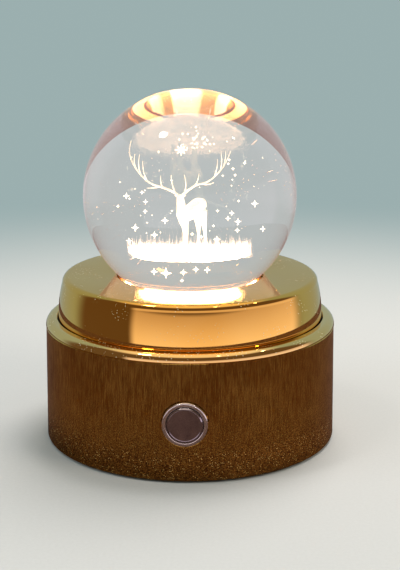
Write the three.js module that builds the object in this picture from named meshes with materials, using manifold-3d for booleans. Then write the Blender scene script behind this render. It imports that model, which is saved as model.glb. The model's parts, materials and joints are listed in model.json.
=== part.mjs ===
// Engraved crystal ball on a round, gold-plated base: a light under the ball, a motor-driven
// turning stage and one push button at the front. Millimetres, +Z up, the origin on the axis
// at the table, the button facing -Y.

import * as THREE from 'three';
import * as BufferGeometryUtils from 'three/addons/utils/BufferGeometryUtils.js';
import Module from 'manifold-3d';

const wasm = await Module();
wasm.setup();

// ---- Driving dimensions ----------------------------------------------------------------

const GAP = 0.3; // clearance between pieces that touch in the real object
const FINE = 40; // facets round the large shells
const COARSE = 20; // facets round small turned pieces

// ball
const BALL_R = 40;
const STAGE_TOP_Z = 62.7;
const BALL_RISE = 29.5; // ball centre above the stage's flat top
const BALL_Z = STAGE_TOP_Z + BALL_RISE;

// drum, the fixed lower tier
const DRUM_R = 55.5;
const DRUM_TOP_R = 54.9;
const DRUM_BOTTOM_Z = 0.6;
const DRUM_TOP_Z = 43.9;
const WALL = 2.3;
const WALL_DRAFT = DRUM_R - DRUM_TOP_R; // the wall leans in by this much over its height
const DRUM_IN_R = DRUM_TOP_R - WALL + WALL_DRAFT;
const LEDGE_Z = 38.7; // top of the moulded ledge that carries the deck
const LEDGE_IN_R = 49;

// shoulder ring, the rounded shelf round the stage's foot
const SHELF_Z = 47;
const BEAD_R = 2.8;
const SHOULDER_R = 55.0;
const SHOULDER_IN_R = 50.65;
const EDGE = 0.3; // broken edge of a moulded shell

// stage, the turning upper tier
const STAGE_R = 50.2;
const STAGE_FOOT_Z = 46.3;
const STAGE_ARC_R = 52; // barrel curve of its wall
const STAGE_RIM_R = 2.3; // rounding to the flat top
const STAGE_HOLE_R = 27.7;
const STAGE_LIP_R = 0.8; // rounding of the hole's edge
const STAGE_WALL = 2.2;
const STAGE_BOSS_R = 3;
const STAGE_BOSS_CIRCLE_R = 42.5;
const STAGE_BOSS_ANGLES = [90, 210, 330].map(THREE.MathUtils.degToRad);

// turntable, gears and the fixed deck
const DECK_Z = 39;
const DECK_T = 2;
const DECK_TOP_Z = DECK_Z + DECK_T;
const TABLE_Z = 48; // underside of the turntable plate
const TABLE_T = 2;
const MODULE_MM = 1.5;
const RING_TEETH = 48;
const PINION_TEETH = 8;
const RING_PITCH_R = (RING_TEETH * MODULE_MM) / 2;
const PINION_PITCH_R = (PINION_TEETH * MODULE_MM) / 2;
const MOTOR_X = RING_PITCH_R - PINION_PITCH_R; // centre distance of the gear pair
const GEAR_Z = 43.4;
const GEAR_TOP_Z = TABLE_Z - GAP;
const TOOTH_TIP = 0.9 * MODULE_MM;
const TOOTH_ROOT = 1.2 * MODULE_MM;
const TOOTH_TIP_HALF = 0.45; // half of a tooth's width at its tip

// lamp post, the hollow spindle that the turntable runs on
const POST_R = 15;
const POST_TOP_Z = 51.7;
const LED_BOARD_Z = 46;

// screw bosses of the drum, two on each side
const BOSS_R = 3.6;
const BOSS_CIRCLE_R = 47.2;
const BOSS_ANGLES = [25, 155, 205, 335].map(THREE.MathUtils.degToRad);
const SCREW_R = 1.3;
const SCREW_HEAD_R = 2.7;
const SCREW_HEAD_T = 1.6;
const SHORT_SCREW = 8;
const COVER_SCREW = 9;
const MOTOR_SCREW = 3.4;
const PILOT_R = SCREW_R + GAP;
const PILOT_DEPTH = 8.5;
const OVERCUT = 1; // how far a drill runs past the face that it enters

// bottom cover and feet
const COVER_Z = 2.2;
const COVER_T = 3;
const COVER_TOP_Z = COVER_Z + COVER_T;
const FOOT_R = 6;
const FOOT_CIRCLE_R = 38;

// push button
const BUTTON_Z = 22;
const BEZEL_R = 8.1;
const BEZEL_FRONT_Y = -56.2;
const BEZEL_SEAT_Y = -54.5; // flat spot-face on the drum
const CAP_R = 6.2;
const CAP_FACE_R = 5.3;
const CAP_FRONT_Y = -56.9;
const BUTTON_TRAVEL = 1.2;
const BARREL_R = 7.4;
const BARREL_BACK_Y = -45.4;
const BARREL_FLOOR_T = 1;
const CAP_BACK_Y = -51.2;
const STEM_R = 1.6;
const SPRING_R = 3.2;
const SPRING_WIRE_R = 0.35;
const PLUNGER_FRONT_Y = -42.9; // tip of the tact switch behind the stem

// electronics
const BOARD_Y = -37.9;
const BOARD_T = 1.4;
const CELL_R = 9.1;
const CELL_LENGTH = 65;
const CELL_Y = 23.5;
const CELL_Z = 17;
const SOCKET_Z = 10.6;
const SOCKET_MOUTH_Y = 52.2;
const SOCKET_POST_HEIGHT = 2.1;
const WINDOW_WIDTH = 12.6;
const WINDOW_HEIGHT = 6.6;
const WINDOW_CORNER_R = 2.4;
const CONNECTOR = [7, 5, 5];
const LEAD_R = 0.6;

// motor
const SHAFT_R = 1.5;
const SHAFT_FOOT_Z = 34.3;
const MOTOR_TOP_Z = DECK_Z - GAP;
const EAR_OFFSET = 17.5;

// ---- Materials -------------------------------------------------------------------------

function material(color, roughness, metalness) {
  return new THREE.MeshStandardMaterial({ color, roughness, metalness });
}

const gold = material(0xc9923a, 0.08, 1);
const chrome = material(0xc8c4c6, 0.1, 1);
const steel = material(0x9a9a9c, 0.3, 1);
const crystal = material(0xeef6f6, 0.02, 0);
const clearPlastic = material(0xf3efe4, 0.2, 0);
const silicone = material(0xd8d4c8, 0.6, 0);
const blackPlastic = material(0x1c1b1d, 0.5, 0);
const whitePlastic = material(0xe6e3dc, 0.45, 0);
const acetal = material(0xd9d7cf, 0.4, 0);
const rubber = material(0x141414, 0.8, 0);
const circuitGreen = material(0x1f5b39, 0.45, 0);
const ledYellow = material(0xffd778, 0.4, 0);
const cellWrap = material(0x2f6fa8, 0.4, 0);
const copperRed = material(0xa3231c, 0.5, 0);

// ---- Shapes ----------------------------------------------------------------------------

// A profile is a list of [radius, z] points, up the outside and down the inside.
function lathe(profile, facets = FINE, closed = true) {
  const points = profile.map(([r, z]) => new THREE.Vector2(r, z));
  if (closed) points.push(points[0].clone());
  return new THREE.LatheGeometry(points, facets).rotateX(Math.PI / 2);
}

function turned(profile, facets = COARSE) {
  return lathe(profile, facets, false);
}

function disc(radius, z, height, facets = COARSE) {
  return turned([[0, z], [radius, z], [radius, z + height], [0, z + height]], facets);
}

function ring(outer, inner, z, height, facets = COARSE) {
  return lathe([[outer, z], [outer, z + height], [inner, z + height], [inner, z]], facets);
}

function box(x, y, z, at = [0, 0, 0]) {
  return new THREE.BoxGeometry(x, y, z).translate(...at);
}

// Points of an arc in the profile plane, both ends included.
function arc(r, z, radius, from, to, steps) {
  return Array.from({ length: steps + 1 }, (_, i) => {
    const angle = THREE.MathUtils.degToRad(from + ((to - from) * i) / steps);
    return [r + radius * Math.cos(angle), z + radius * Math.sin(angle)];
  });
}

function extruded(shape, depth, z = 0, curveSegments = 12) {
  const options = { depth, bevelEnabled: false, curveSegments };
  return new THREE.ExtrudeGeometry(shape, options).translate(0, 0, z);
}

function tube(points, radius, steps, sides = 6) {
  const path = new THREE.CatmullRomCurve3(points.map((p) => new THREE.Vector3(...p)));
  const section = new THREE.Shape();
  for (let i = 0; i < sides; i += 1) {
    const angle = (2 * Math.PI * i) / sides;
    const corner = [radius * Math.cos(angle), radius * Math.sin(angle)];
    if (i === 0) section.moveTo(...corner);
    else section.lineTo(...corner);
  }
  section.closePath();
  return new THREE.ExtrudeGeometry(section, { steps, extrudePath: path });
}

// Turned about +Z, then laid down so that its +Z end faces -Y at the button's height.
function facingFront(geometry) {
  return geometry.rotateX(Math.PI / 2).translate(0, 0, BUTTON_Z);
}

function onCircle(radius, angle) {
  return [radius * Math.cos(angle), radius * Math.sin(angle)];
}

// ---- Booleans --------------------------------------------------------------------------

function toSolid(geometry) {
  const bare = geometry.clone();
  bare.deleteAttribute('normal');
  bare.deleteAttribute('uv');
  const merged = BufferGeometryUtils.mergeVertices(bare, 1e-4);
  const vertProperties = merged.attributes.position.array;
  const triVerts = Uint32Array.from(merged.index.array);
  return new wasm.Manifold(new wasm.Mesh({ numProp: 3, vertProperties, triVerts }));
}

function toGeometry(solid) {
  const mesh = solid.getMesh();
  const geometry = new THREE.BufferGeometry();
  geometry.setAttribute('position', new THREE.BufferAttribute(mesh.vertProperties, 3));
  geometry.setIndex(new THREE.BufferAttribute(mesh.triVerts, 1));
  geometry.computeVertexNormals();
  return geometry;
}

function shaped(base, { add = [], cut = [] }) {
  const joined = add.reduce((solid, piece) => solid.add(toSolid(piece)), toSolid(base));
  return toGeometry(cut.reduce((solid, piece) => solid.subtract(toSolid(piece)), joined));
}

// ---- Assembly helpers ------------------------------------------------------------------

function piece(parent, name, geometry, finish) {
  const mesh = new THREE.Mesh(geometry, finish);
  mesh.name = name;
  parent.add(mesh);
  return mesh;
}

function group(parent, position = [0, 0, 0]) {
  const child = new THREE.Group();
  child.position.set(...position);
  parent.add(child);
  return child;
}

// A pan-head screw, its head's underside at z = 0 and its shank pointing down.
function screw(length) {
  const profile = [
    [0, -length], [SCREW_R, -length], [SCREW_R, 0], [SCREW_HEAD_R, 0],
    [SCREW_HEAD_R, SCREW_HEAD_T * 0.6], [SCREW_HEAD_R * 0.6, SCREW_HEAD_T], [0, SCREW_HEAD_T],
  ];
  const slot = box(SCREW_HEAD_R * 2.4, 0.7, 1.4, [0, 0, SCREW_HEAD_T]);
  return shaped(turned(profile, 10), { cut: [slot] });
}

// ---- Ball and its seat -----------------------------------------------------------------

function addBall(parent) {
  const ball = group(parent, [0, 0, BALL_Z]);
  const sphere = new THREE.SphereGeometry(BALL_R, FINE, FINE / 2).rotateX(Math.PI / 2);
  piece(ball, 'crystal_ball', sphere, crystal);
}

function addSeat(parent) {
  const CUP_R = STAGE_HOLE_R - GAP - 0.1;
  const SHELF_R = 23;
  const CUP_TOP_Z = STAGE_TOP_Z - STAGE_WALL - GAP;
  const SHELF_TOP_Z = 56.3;
  const LIP = 0.9;
  const SEAT_SECTION_R = 1.6;
  const SEAT_R = 24.6;
  const cupProfile = [
    [CUP_R, TABLE_Z + TABLE_T + GAP], [CUP_R, CUP_TOP_Z], [CUP_R - LIP, CUP_TOP_Z],
    [CUP_R - LIP, SHELF_TOP_Z], [SHELF_R, SHELF_TOP_Z], [SHELF_R, TABLE_Z + TABLE_T + GAP],
  ];
  piece(parent, 'ball_cup', lathe(cupProfile, 32), gold);
  const seatZ = SHELF_TOP_Z + GAP + SEAT_SECTION_R;
  const seatProfile = arc(SEAT_R, seatZ, SEAT_SECTION_R, 0, 300, 5);
  piece(parent, 'seat_ring', lathe(seatProfile, 32), silicone);
}

// ---- Stage and turntable ---------------------------------------------------------------

// Radius of the stage's barrel-shaped outer wall at height z.
function stageRadius(z) {
  const rise = Math.max(0, z - SHELF_Z);
  return STAGE_R - (STAGE_ARC_R - Math.sqrt(STAGE_ARC_R ** 2 - rise ** 2));
}

function addStageShell(parent) {
  const rimZ = STAGE_TOP_Z - STAGE_RIM_R;
  const rimCentreR = stageRadius(rimZ) - STAGE_RIM_R;
  const undersideZ = STAGE_TOP_Z - STAGE_WALL;
  const WALL_LEVELS = [STAGE_FOOT_Z, 50, 55, 58];
  const INSIDE_LEVELS = [57, STAGE_FOOT_Z];
  const outside = WALL_LEVELS.map((z) => [stageRadius(z), z]);
  const rim = arc(rimCentreR, rimZ, STAGE_RIM_R, 0, 90, 3);
  const lipCentre = [STAGE_HOLE_R + STAGE_LIP_R, STAGE_TOP_Z - STAGE_LIP_R];
  const lip = arc(...lipCentre, STAGE_LIP_R, 90, 180, 2);
  const inside = INSIDE_LEVELS.map((z) => [stageRadius(z) - STAGE_WALL, z]);
  const profile = [
    ...outside, ...rim, ...lip, [STAGE_HOLE_R, undersideZ],
    [rimCentreR - 1, undersideZ], ...inside,
  ];
  const bossZ = TABLE_Z + TABLE_T + GAP;
  const at = STAGE_BOSS_ANGLES.map((angle) => onCircle(STAGE_BOSS_CIRCLE_R, angle));
  const height = undersideZ - bossZ + OVERCUT;
  const bosses = at.map(([x, y]) => disc(STAGE_BOSS_R, bossZ, height, 14).translate(x, y, 0));
  const pilots = at.map(([x, y]) => (
    disc(PILOT_R, bossZ - OVERCUT, PILOT_DEPTH - 0.5, 12).translate(x, y, 0)));
  piece(parent, 'stage_shell', shaped(lathe(profile), { add: bosses, cut: pilots }), gold);
}

function addTurntable(parent) {
  const HUB_R = 18.2;
  const PLATE_R = 46.6;
  const hubBore = POST_R + GAP;
  const profile = [
    [HUB_R, GEAR_Z], [HUB_R, TABLE_Z], [PLATE_R, TABLE_Z], [PLATE_R, TABLE_Z + TABLE_T],
    [hubBore, TABLE_Z + TABLE_T], [hubBore, GEAR_Z],
  ];
  const at = STAGE_BOSS_ANGLES.map((angle) => onCircle(STAGE_BOSS_CIRCLE_R, angle));
  const holes = at.map(([x, y]) => (
    disc(PILOT_R, TABLE_Z - OVERCUT, TABLE_T + 2 * OVERCUT, 12).translate(x, y, 0)));
  piece(parent, 'turntable', shaped(lathe(profile), { cut: holes }), whitePlastic);
  at.forEach(([x, y], i) => {
    const stageScrew = piece(parent, `stage_screw_${i + 1}`, screw(SHORT_SCREW), steel);
    stageScrew.rotation.x = Math.PI;
    stageScrew.position.set(x, y, TABLE_Z - GAP);
  });
}

// Outline of straight-sided teeth that stand from rootR to tipR; the first tooth is on +X.
function toothOutline(teeth, rootR, tipR, rootHalf, tipHalf) {
  return Array.from({ length: teeth }, (_, i) => {
    const middle = (2 * Math.PI * i) / teeth;
    return [
      onCircle(rootR, middle - rootHalf / rootR), onCircle(tipR, middle - tipHalf / tipR),
      onCircle(tipR, middle + tipHalf / tipR), onCircle(rootR, middle + rootHalf / rootR),
    ];
  }).flat();
}

function polygon(points, Kind = THREE.Shape) {
  return new Kind(points.map(([x, y]) => new THREE.Vector2(x, y)));
}

function addRingGear(parent) {
  const OUTER_R = 39.4;
  const shape = new THREE.Shape().absarc(0, 0, OUTER_R, 0, 2 * Math.PI);
  const teeth = [RING_PITCH_R + TOOTH_ROOT, RING_PITCH_R - TOOTH_TIP];
  const ROOT_HALF = 1.3;
  const outline = toothOutline(RING_TEETH, ...teeth, ROOT_HALF, TOOTH_TIP_HALF);
  shape.holes.push(polygon(outline, THREE.Path));
  piece(parent, 'ring_gear', extruded(shape, GEAR_TOP_Z - GEAR_Z, GEAR_Z, FINE), acetal);
}

// ---- Drive -----------------------------------------------------------------------------

function addPinion(parent) {
  const drive = group(parent, [MOTOR_X, 0, 0]);
  const teeth = [PINION_PITCH_R - TOOTH_ROOT, PINION_PITCH_R + TOOTH_TIP];
  const ROOT_HALF = 1.1;
  const shape = polygon(toothOutline(PINION_TEETH, ...teeth, ROOT_HALF, TOOTH_TIP_HALF));
  shape.holes.push(new THREE.Path().absarc(0, 0, SHAFT_R + GAP, 0, 2 * Math.PI, true));
  const gear = extruded(shape, GEAR_TOP_Z - GEAR_Z - GAP, GEAR_Z);
  // half a tooth round, so that a gap faces the ring gear's tooth on +X
  piece(drive, 'drive_pinion', gear.rotateZ(Math.PI / PINION_TEETH), acetal);
  const length = GEAR_TOP_Z - GAP - SHAFT_FOOT_Z;
  piece(drive, 'motor_shaft', disc(SHAFT_R, SHAFT_FOOT_Z, length, 16), steel);
}

function addMotor(parent) {
  const MOTOR_R = 12;
  const MOTOR_FOOT_Z = 19.5;
  const CHAMFER = 1;
  const BOSS_R = 4.6;
  const EAR_R = 3.6;
  const EAR_T = 1.2;
  const motor = group(parent, [MOTOR_X, 0, 0]);
  const bodyProfile = [
    [0, MOTOR_FOOT_Z], [MOTOR_R - CHAMFER, MOTOR_FOOT_Z], [MOTOR_R, MOTOR_FOOT_Z + CHAMFER],
    [MOTOR_R, MOTOR_TOP_Z], [BOSS_R, MOTOR_TOP_Z], [BOSS_R, DECK_TOP_Z], [0, DECK_TOP_Z],
  ];
  const earZ = MOTOR_TOP_Z - EAR_T;
  const ears = new THREE.Shape();
  ears.absarc(0, EAR_OFFSET, EAR_R, 0, Math.PI, false);
  ears.absarc(0, -EAR_OFFSET, EAR_R, Math.PI, 2 * Math.PI, false);
  const holes = [-EAR_OFFSET, EAR_OFFSET].map((y) => (
    disc(PILOT_R, earZ - OVERCUT, EAR_T + 2 * OVERCUT, 12).translate(0, y, 0)));
  const boreZ = SHAFT_FOOT_Z - GAP;
  const bore = disc(SHAFT_R + GAP, boreZ, DECK_TOP_Z + OVERCUT - boreZ, 16);
  const options = { add: [extruded(ears, EAR_T, earZ, 8)], cut: [...holes, bore] };
  piece(motor, 'gear_motor', shaped(turned(bodyProfile), options), steel);
  [-EAR_OFFSET, EAR_OFFSET].forEach((y, i) => {
    const motorScrew = piece(motor, `motor_screw_${i + 1}`, screw(MOTOR_SCREW), steel);
    motorScrew.rotation.x = Math.PI;
    motorScrew.position.set(0, y, earZ - GAP);
  });
}

// ---- Deck, lamp post and lights --------------------------------------------------------

function addDeck(parent) {
  const DECK_R = 52.4;
  const WIRE_HOLE_R = 6;
  const MOTOR_HOLE_R = 5.2;
  const at = BOSS_ANGLES.map((angle) => onCircle(BOSS_CIRCLE_R, angle));
  const drill = (radius, x, y) => (
    disc(radius, DECK_Z - OVERCUT, DECK_T + 2 * OVERCUT, 14).translate(x, y, 0));
  const holes = [
    ...at.map(([x, y]) => drill(PILOT_R, x, y)),
    drill(MOTOR_HOLE_R, MOTOR_X, 0), drill(WIRE_HOLE_R, 0, 0),
    drill(PILOT_R, MOTOR_X, EAR_OFFSET), drill(PILOT_R, MOTOR_X, -EAR_OFFSET),
  ];
  const plate = shaped(disc(DECK_R, DECK_Z, DECK_T, FINE), { cut: holes });
  piece(parent, 'deck_plate', plate, blackPlastic);
  at.forEach(([x, y], i) => {
    const deckScrew = piece(parent, `deck_screw_${i + 1}`, screw(SHORT_SCREW), steel);
    deckScrew.position.set(x, y, DECK_TOP_Z + GAP);
  });
}

const MOUTH_R = 12.9; // the post's widened mouth, which holds the lights

function addLampPost(parent) {
  const BORE_R = 10.8;
  const CLIP_Z = 50.2;
  const GROOVE = { depth: 0.7, height: 1 };
  const footZ = DECK_TOP_Z + GAP;
  const grooveR = POST_R - GROOVE.depth;
  const profile = [
    [POST_R, footZ], [POST_R, CLIP_Z], [grooveR, CLIP_Z], [grooveR, CLIP_Z + GROOVE.height],
    [POST_R, CLIP_Z + GROOVE.height], [POST_R, POST_TOP_Z], [MOUTH_R, POST_TOP_Z],
    [MOUTH_R, LED_BOARD_Z - GAP], [BORE_R, LED_BOARD_Z - GAP], [BORE_R, footZ],
  ];
  piece(parent, 'lamp_post', lathe(profile, 30), whitePlastic);
  addWasher(parent, footZ);
  addClip(parent, CLIP_Z);
}

function addWasher(parent, footZ) {
  const WASHER_R = 19.5;
  const thickness = GEAR_Z - 2 * GAP - DECK_TOP_Z;
  const washer = ring(WASHER_R, POST_R + GAP, footZ, thickness, 30);
  piece(parent, 'thrust_washer', washer, acetal);
}

// The open spring clip that sits in the post's groove and holds the turntable down.
function addClip(parent, grooveZ) {
  const CLIP_R = 17.4;
  const CLIP_T = 0.7;
  const CLEARANCE = 0.15;
  const [outerGap, innerGap] = [0.25, 0.35]; // half of its mouth, in radians
  const clip = new THREE.Shape().absarc(0, 0, CLIP_R, outerGap, 2 * Math.PI - outerGap, false);
  clip.absarc(0, 0, POST_R - 0.5, 2 * Math.PI - innerGap, innerGap, true);
  piece(parent, 'retaining_clip', extruded(clip, CLIP_T, grooveZ + CLEARANCE, 16), steel);
}

function addLights(parent) {
  const BOARD_R = 12.5;
  const LED_CIRCLE_R = 6.5;
  const LEDS = 5;
  const LED = [3.5, 2.8, 1.2];
  const ledZ = LED_BOARD_Z + BOARD_T + GAP;
  const wireSlot = box(3, 3, 4, [0, -BOARD_R + 1, LED_BOARD_Z]);
  const board = shaped(disc(BOARD_R, LED_BOARD_Z, BOARD_T, 32), { cut: [wireSlot] });
  piece(parent, 'led_board', board, circuitGreen);
  for (let i = 0; i < LEDS; i += 1) {
    const [x, y] = onCircle(LED_CIRCLE_R, Math.PI / 2 + (2 * Math.PI * i) / LEDS);
    const led = piece(parent, `led_${i + 1}`, box(...LED, [0, 0, LED[2] / 2]), ledYellow);
    led.position.set(x, y, ledZ);
    led.rotation.z = (2 * Math.PI * i) / LEDS;
  }
  addLens(parent);
}

function addLens(parent) {
  const LENS_R = MOUTH_R - GAP;
  const SKIRT_T = 1;
  const SKIRT_FOOT_Z = 47.9;
  const UNDERSIDE_Z = 49.7;
  const BEVEL = [3, 0.4];
  const profile = [
    [0, UNDERSIDE_Z], [LENS_R - SKIRT_T, UNDERSIDE_Z], [LENS_R - SKIRT_T, SKIRT_FOOT_Z],
    [LENS_R, SKIRT_FOOT_Z], [LENS_R, POST_TOP_Z - BEVEL[1]], [LENS_R - BEVEL[0], POST_TOP_Z],
    [0, POST_TOP_Z],
  ];
  piece(parent, 'lamp_lens', turned(profile, 32), clearPlastic);
}

// ---- Drum and shoulder -----------------------------------------------------------------

function addDrumShell(parent) {
  const FOOT_ROUND = 0.8;
  const LEDGE_T = 1.5;
  const LEDGE_SLOPE = 2; // the ledge's underside runs out to the wall over this height
  const HOLE_R = BARREL_R + GAP;
  const foot = arc(DRUM_R - FOOT_ROUND, DRUM_BOTTOM_Z + FOOT_ROUND, FOOT_ROUND, -90, 0, 2);
  const profile = [
    ...foot, [DRUM_TOP_R, DRUM_TOP_Z - EDGE], [DRUM_TOP_R - EDGE, DRUM_TOP_Z],
    [DRUM_IN_R, DRUM_TOP_Z], [DRUM_IN_R, LEDGE_Z], [LEDGE_IN_R, LEDGE_Z],
    [LEDGE_IN_R, LEDGE_Z - LEDGE_T], [DRUM_IN_R, LEDGE_Z - LEDGE_T - LEDGE_SLOPE],
    [DRUM_IN_R, DRUM_BOTTOM_Z],
  ];
  const spotFace = facingFront(disc(BEZEL_R + GAP, -BEZEL_SEAT_Y, 6, 32));
  const buttonHole = facingFront(disc(HOLE_R, 45, 15, 32));
  const cut = [...bossPilots(), spotFace, buttonHole, chargeWindow()];
  piece(parent, 'drum_shell', shaped(lathe(profile), { add: drumBosses(), cut }), gold);
}

// Each boss stands under the ledge and is tied to the wall by a short web.
function drumBosses() {
  const WEB = [5.5, 3];
  const bossZ = COVER_TOP_Z + GAP;
  const height = LEDGE_Z - bossZ;
  return BOSS_ANGLES.flatMap((angle) => {
    const boss = disc(BOSS_R, bossZ, height, 12).translate(...onCircle(BOSS_CIRCLE_R, angle), 0);
    const web = box(...WEB, height, [BOSS_CIRCLE_R + BOSS_R, 0, bossZ + height / 2]);
    return [boss, web.rotateZ(angle)];
  });
}

// Screws enter the bosses from both ends: the cover's from below, the deck's from above.
function bossPilots() {
  const depth = PILOT_DEPTH + OVERCUT;
  return BOSS_ANGLES.flatMap((angle) => {
    const at = [...onCircle(BOSS_CIRCLE_R, angle), 0];
    const low = disc(PILOT_R, COVER_TOP_Z + GAP - OVERCUT, depth, 10).translate(...at);
    const high = disc(PILOT_R, LEDGE_Z - PILOT_DEPTH, depth, 10).translate(...at);
    return [low, high];
  });
}

function roundedRectangle(width, height, radius) {
  const shape = new THREE.Shape();
  const [x, y] = [width / 2 - radius, height / 2 - radius];
  shape.absarc(x, y, radius, 0, Math.PI / 2);
  shape.absarc(-x, y, radius, Math.PI / 2, Math.PI);
  shape.absarc(-x, -y, radius, Math.PI, 1.5 * Math.PI);
  shape.absarc(x, -y, radius, 1.5 * Math.PI, 2 * Math.PI);
  shape.closePath();
  return shape;
}

// Cutter for the rear window that a charging plug's grip goes into.
function chargeWindow() {
  const DEPTH = 12;
  const INNER_END = 48;
  const outline = roundedRectangle(WINDOW_WIDTH, WINDOW_HEIGHT, WINDOW_CORNER_R);
  const window = extruded(outline, DEPTH, INNER_END, 4);
  return window.rotateX(-Math.PI / 2).translate(0, 0, SOCKET_Z);
}

function addShoulderRing(parent) {
  const seatZ = DRUM_TOP_Z + GAP;
  const SPIGOT_R = 52.8;
  const bead = arc(SHOULDER_R - BEAD_R, SHELF_Z - BEAD_R, BEAD_R, 0, 90, 4);
  const profile = [
    ...bead, [SHOULDER_IN_R, SHELF_Z], [SHOULDER_IN_R, DECK_TOP_Z + GAP],
    [SPIGOT_R, DECK_TOP_Z + GAP], [SPIGOT_R, seatZ],
  ];
  piece(parent, 'shoulder_ring', lathe(profile), gold);
}

// ---- Bottom cover and feet -------------------------------------------------------------

// A post with a slot that holds one edge of the upright circuit board.
function boardPost(side) {
  const HEIGHT = 14;
  const [postX, slotX] = [19, 16.8];
  const y = BOARD_Y + BOARD_T / 2;
  const slotWidth = BOARD_T + 2 * GAP;
  const post = box(5, 6, HEIGHT, [side * postX, y, COVER_TOP_Z + HEIGHT / 2 - 0.1]);
  const slot = box(5, slotWidth, HEIGHT, [side * slotX, y, COVER_TOP_Z + HEIGHT / 2 + 3.3]);
  return { post, slot };
}

function addBottomCover(parent) {
  const COVER_R = 52.8;
  const HEAD_DEPTH = 2;
  const SOCKET_POST = { radius: 2, x: 6, y: 44, sunk: 0.1 };
  const postHeight = SOCKET_POST_HEIGHT + SOCKET_POST.sunk;
  const socketPosts = [-SOCKET_POST.x, SOCKET_POST.x].map((x) => (
    disc(SOCKET_POST.radius, COVER_TOP_Z - SOCKET_POST.sunk, postHeight, 12)
      .translate(x, SOCKET_POST.y, 0)));
  const boardPosts = [-1, 1].map(boardPost);
  const at = BOSS_ANGLES.map((angle) => onCircle(BOSS_CIRCLE_R, angle));
  const lowZ = COVER_Z - OVERCUT;
  const holes = at.flatMap(([x, y]) => [
    disc(PILOT_R, lowZ, COVER_T + 2 * OVERCUT, 12).translate(x, y, 0),
    disc(SCREW_HEAD_R + GAP, lowZ, HEAD_DEPTH + OVERCUT, 16).translate(x, y, 0),
  ]);
  const plate = disc(COVER_R, COVER_Z, COVER_T, FINE);
  const options = {
    add: [...socketPosts, ...boardPosts.map(({ post }) => post)],
    cut: [...holes, ...boardPosts.map(({ slot }) => slot)],
  };
  piece(parent, 'bottom_cover', shaped(plate, options), blackPlastic);
  at.forEach(([x, y], i) => {
    const coverScrew = piece(parent, `cover_screw_${i + 1}`, screw(COVER_SCREW), steel);
    coverScrew.rotation.x = Math.PI;
    coverScrew.position.set(x, y, COVER_Z + HEAD_DEPTH - GAP);
  });
}

function addFeet(parent) {
  const CHAMFER = 0.5;
  const height = COVER_Z - GAP;
  const profile = [
    [0, 0], [FOOT_R - CHAMFER, 0], [FOOT_R, CHAMFER], [FOOT_R, height], [0, height],
  ];
  for (let i = 0; i < 4; i += 1) {
    const [x, y] = onCircle(FOOT_CIRCLE_R, Math.PI / 4 + (i * Math.PI) / 2);
    piece(parent, `rubber_foot_${i + 1}`, turned(profile, 20), rubber).position.set(x, y, 0);
  }
}

// ---- Button ----------------------------------------------------------------------------

// Profiles here run along -Y, so a depth is the distance in front of the ball's axis.
function addButtonBezel(parent) {
  const STEM_HOLE_R = STEM_R + 0.5;
  const ROUND = 0.6;
  const front = -BEZEL_FRONT_Y;
  const seat = -BEZEL_SEAT_Y + GAP;
  const back = -BARREL_BACK_Y;
  const boreR = CAP_R + 0.4;
  const profile = [
    [STEM_HOLE_R, back], [BARREL_R, back], [BARREL_R, seat], [BEZEL_R, seat],
    [BEZEL_R, front - ROUND], [BEZEL_R - ROUND, front], [boreR + 0.3, front],
    [boreR, front - 0.4], [boreR, back + BARREL_FLOOR_T], [STEM_HOLE_R, back + BARREL_FLOOR_T],
  ];
  piece(parent, 'button_bezel', facingFront(lathe(profile, 28)), chrome);
}

function addBezelNut(parent) {
  const HEX_R = 10;
  const NUT_T = 2.4;
  const NUT_BACK = 48.8;
  const shape = new THREE.Shape();
  for (let i = 0; i < 6; i += 1) {
    const corner = onCircle(HEX_R, (i * Math.PI) / 3);
    if (i === 0) shape.moveTo(...corner);
    else shape.lineTo(...corner);
  }
  shape.closePath();
  shape.holes.push(new THREE.Path().absarc(0, 0, BARREL_R + GAP, 0, 2 * Math.PI, true));
  piece(parent, 'bezel_nut', facingFront(extruded(shape, NUT_T, NUT_BACK, 16)), steel);
}

function addButtonCap(parent) {
  const front = -CAP_FRONT_Y;
  const back = -CAP_BACK_Y;
  const stemEnd = -PLUNGER_FRONT_Y + BUTTON_TRAVEL + GAP;
  const CHAMFER = 0.7;
  const DISH = 0.15;
  const profile = [
    [0, stemEnd], [STEM_R, stemEnd], [STEM_R, back], [CAP_R, back], [CAP_R, front - CHAMFER],
    [CAP_FACE_R + GAP, front], [CAP_FACE_R, front - DISH], [0, front - DISH],
  ];
  piece(parent, 'button_cap', facingFront(turned(profile, 28)), chrome);
}

function addButtonSpring(parent) {
  const TURNS = 3.5;
  const start = -BARREL_BACK_Y + BARREL_FLOOR_T + GAP + SPRING_WIRE_R;
  const end = -CAP_BACK_Y - GAP - SPRING_WIRE_R;
  const STEPS = 36;
  const points = Array.from({ length: STEPS + 1 }, (_, i) => {
    const angle = (2 * Math.PI * TURNS * i) / STEPS;
    return [...onCircle(SPRING_R, angle), start + ((end - start) * i) / STEPS];
  });
  piece(parent, 'button_spring', facingFront(tube(points, SPRING_WIRE_R, STEPS, 5)), steel);
}

// ---- Electronics -----------------------------------------------------------------------

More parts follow.
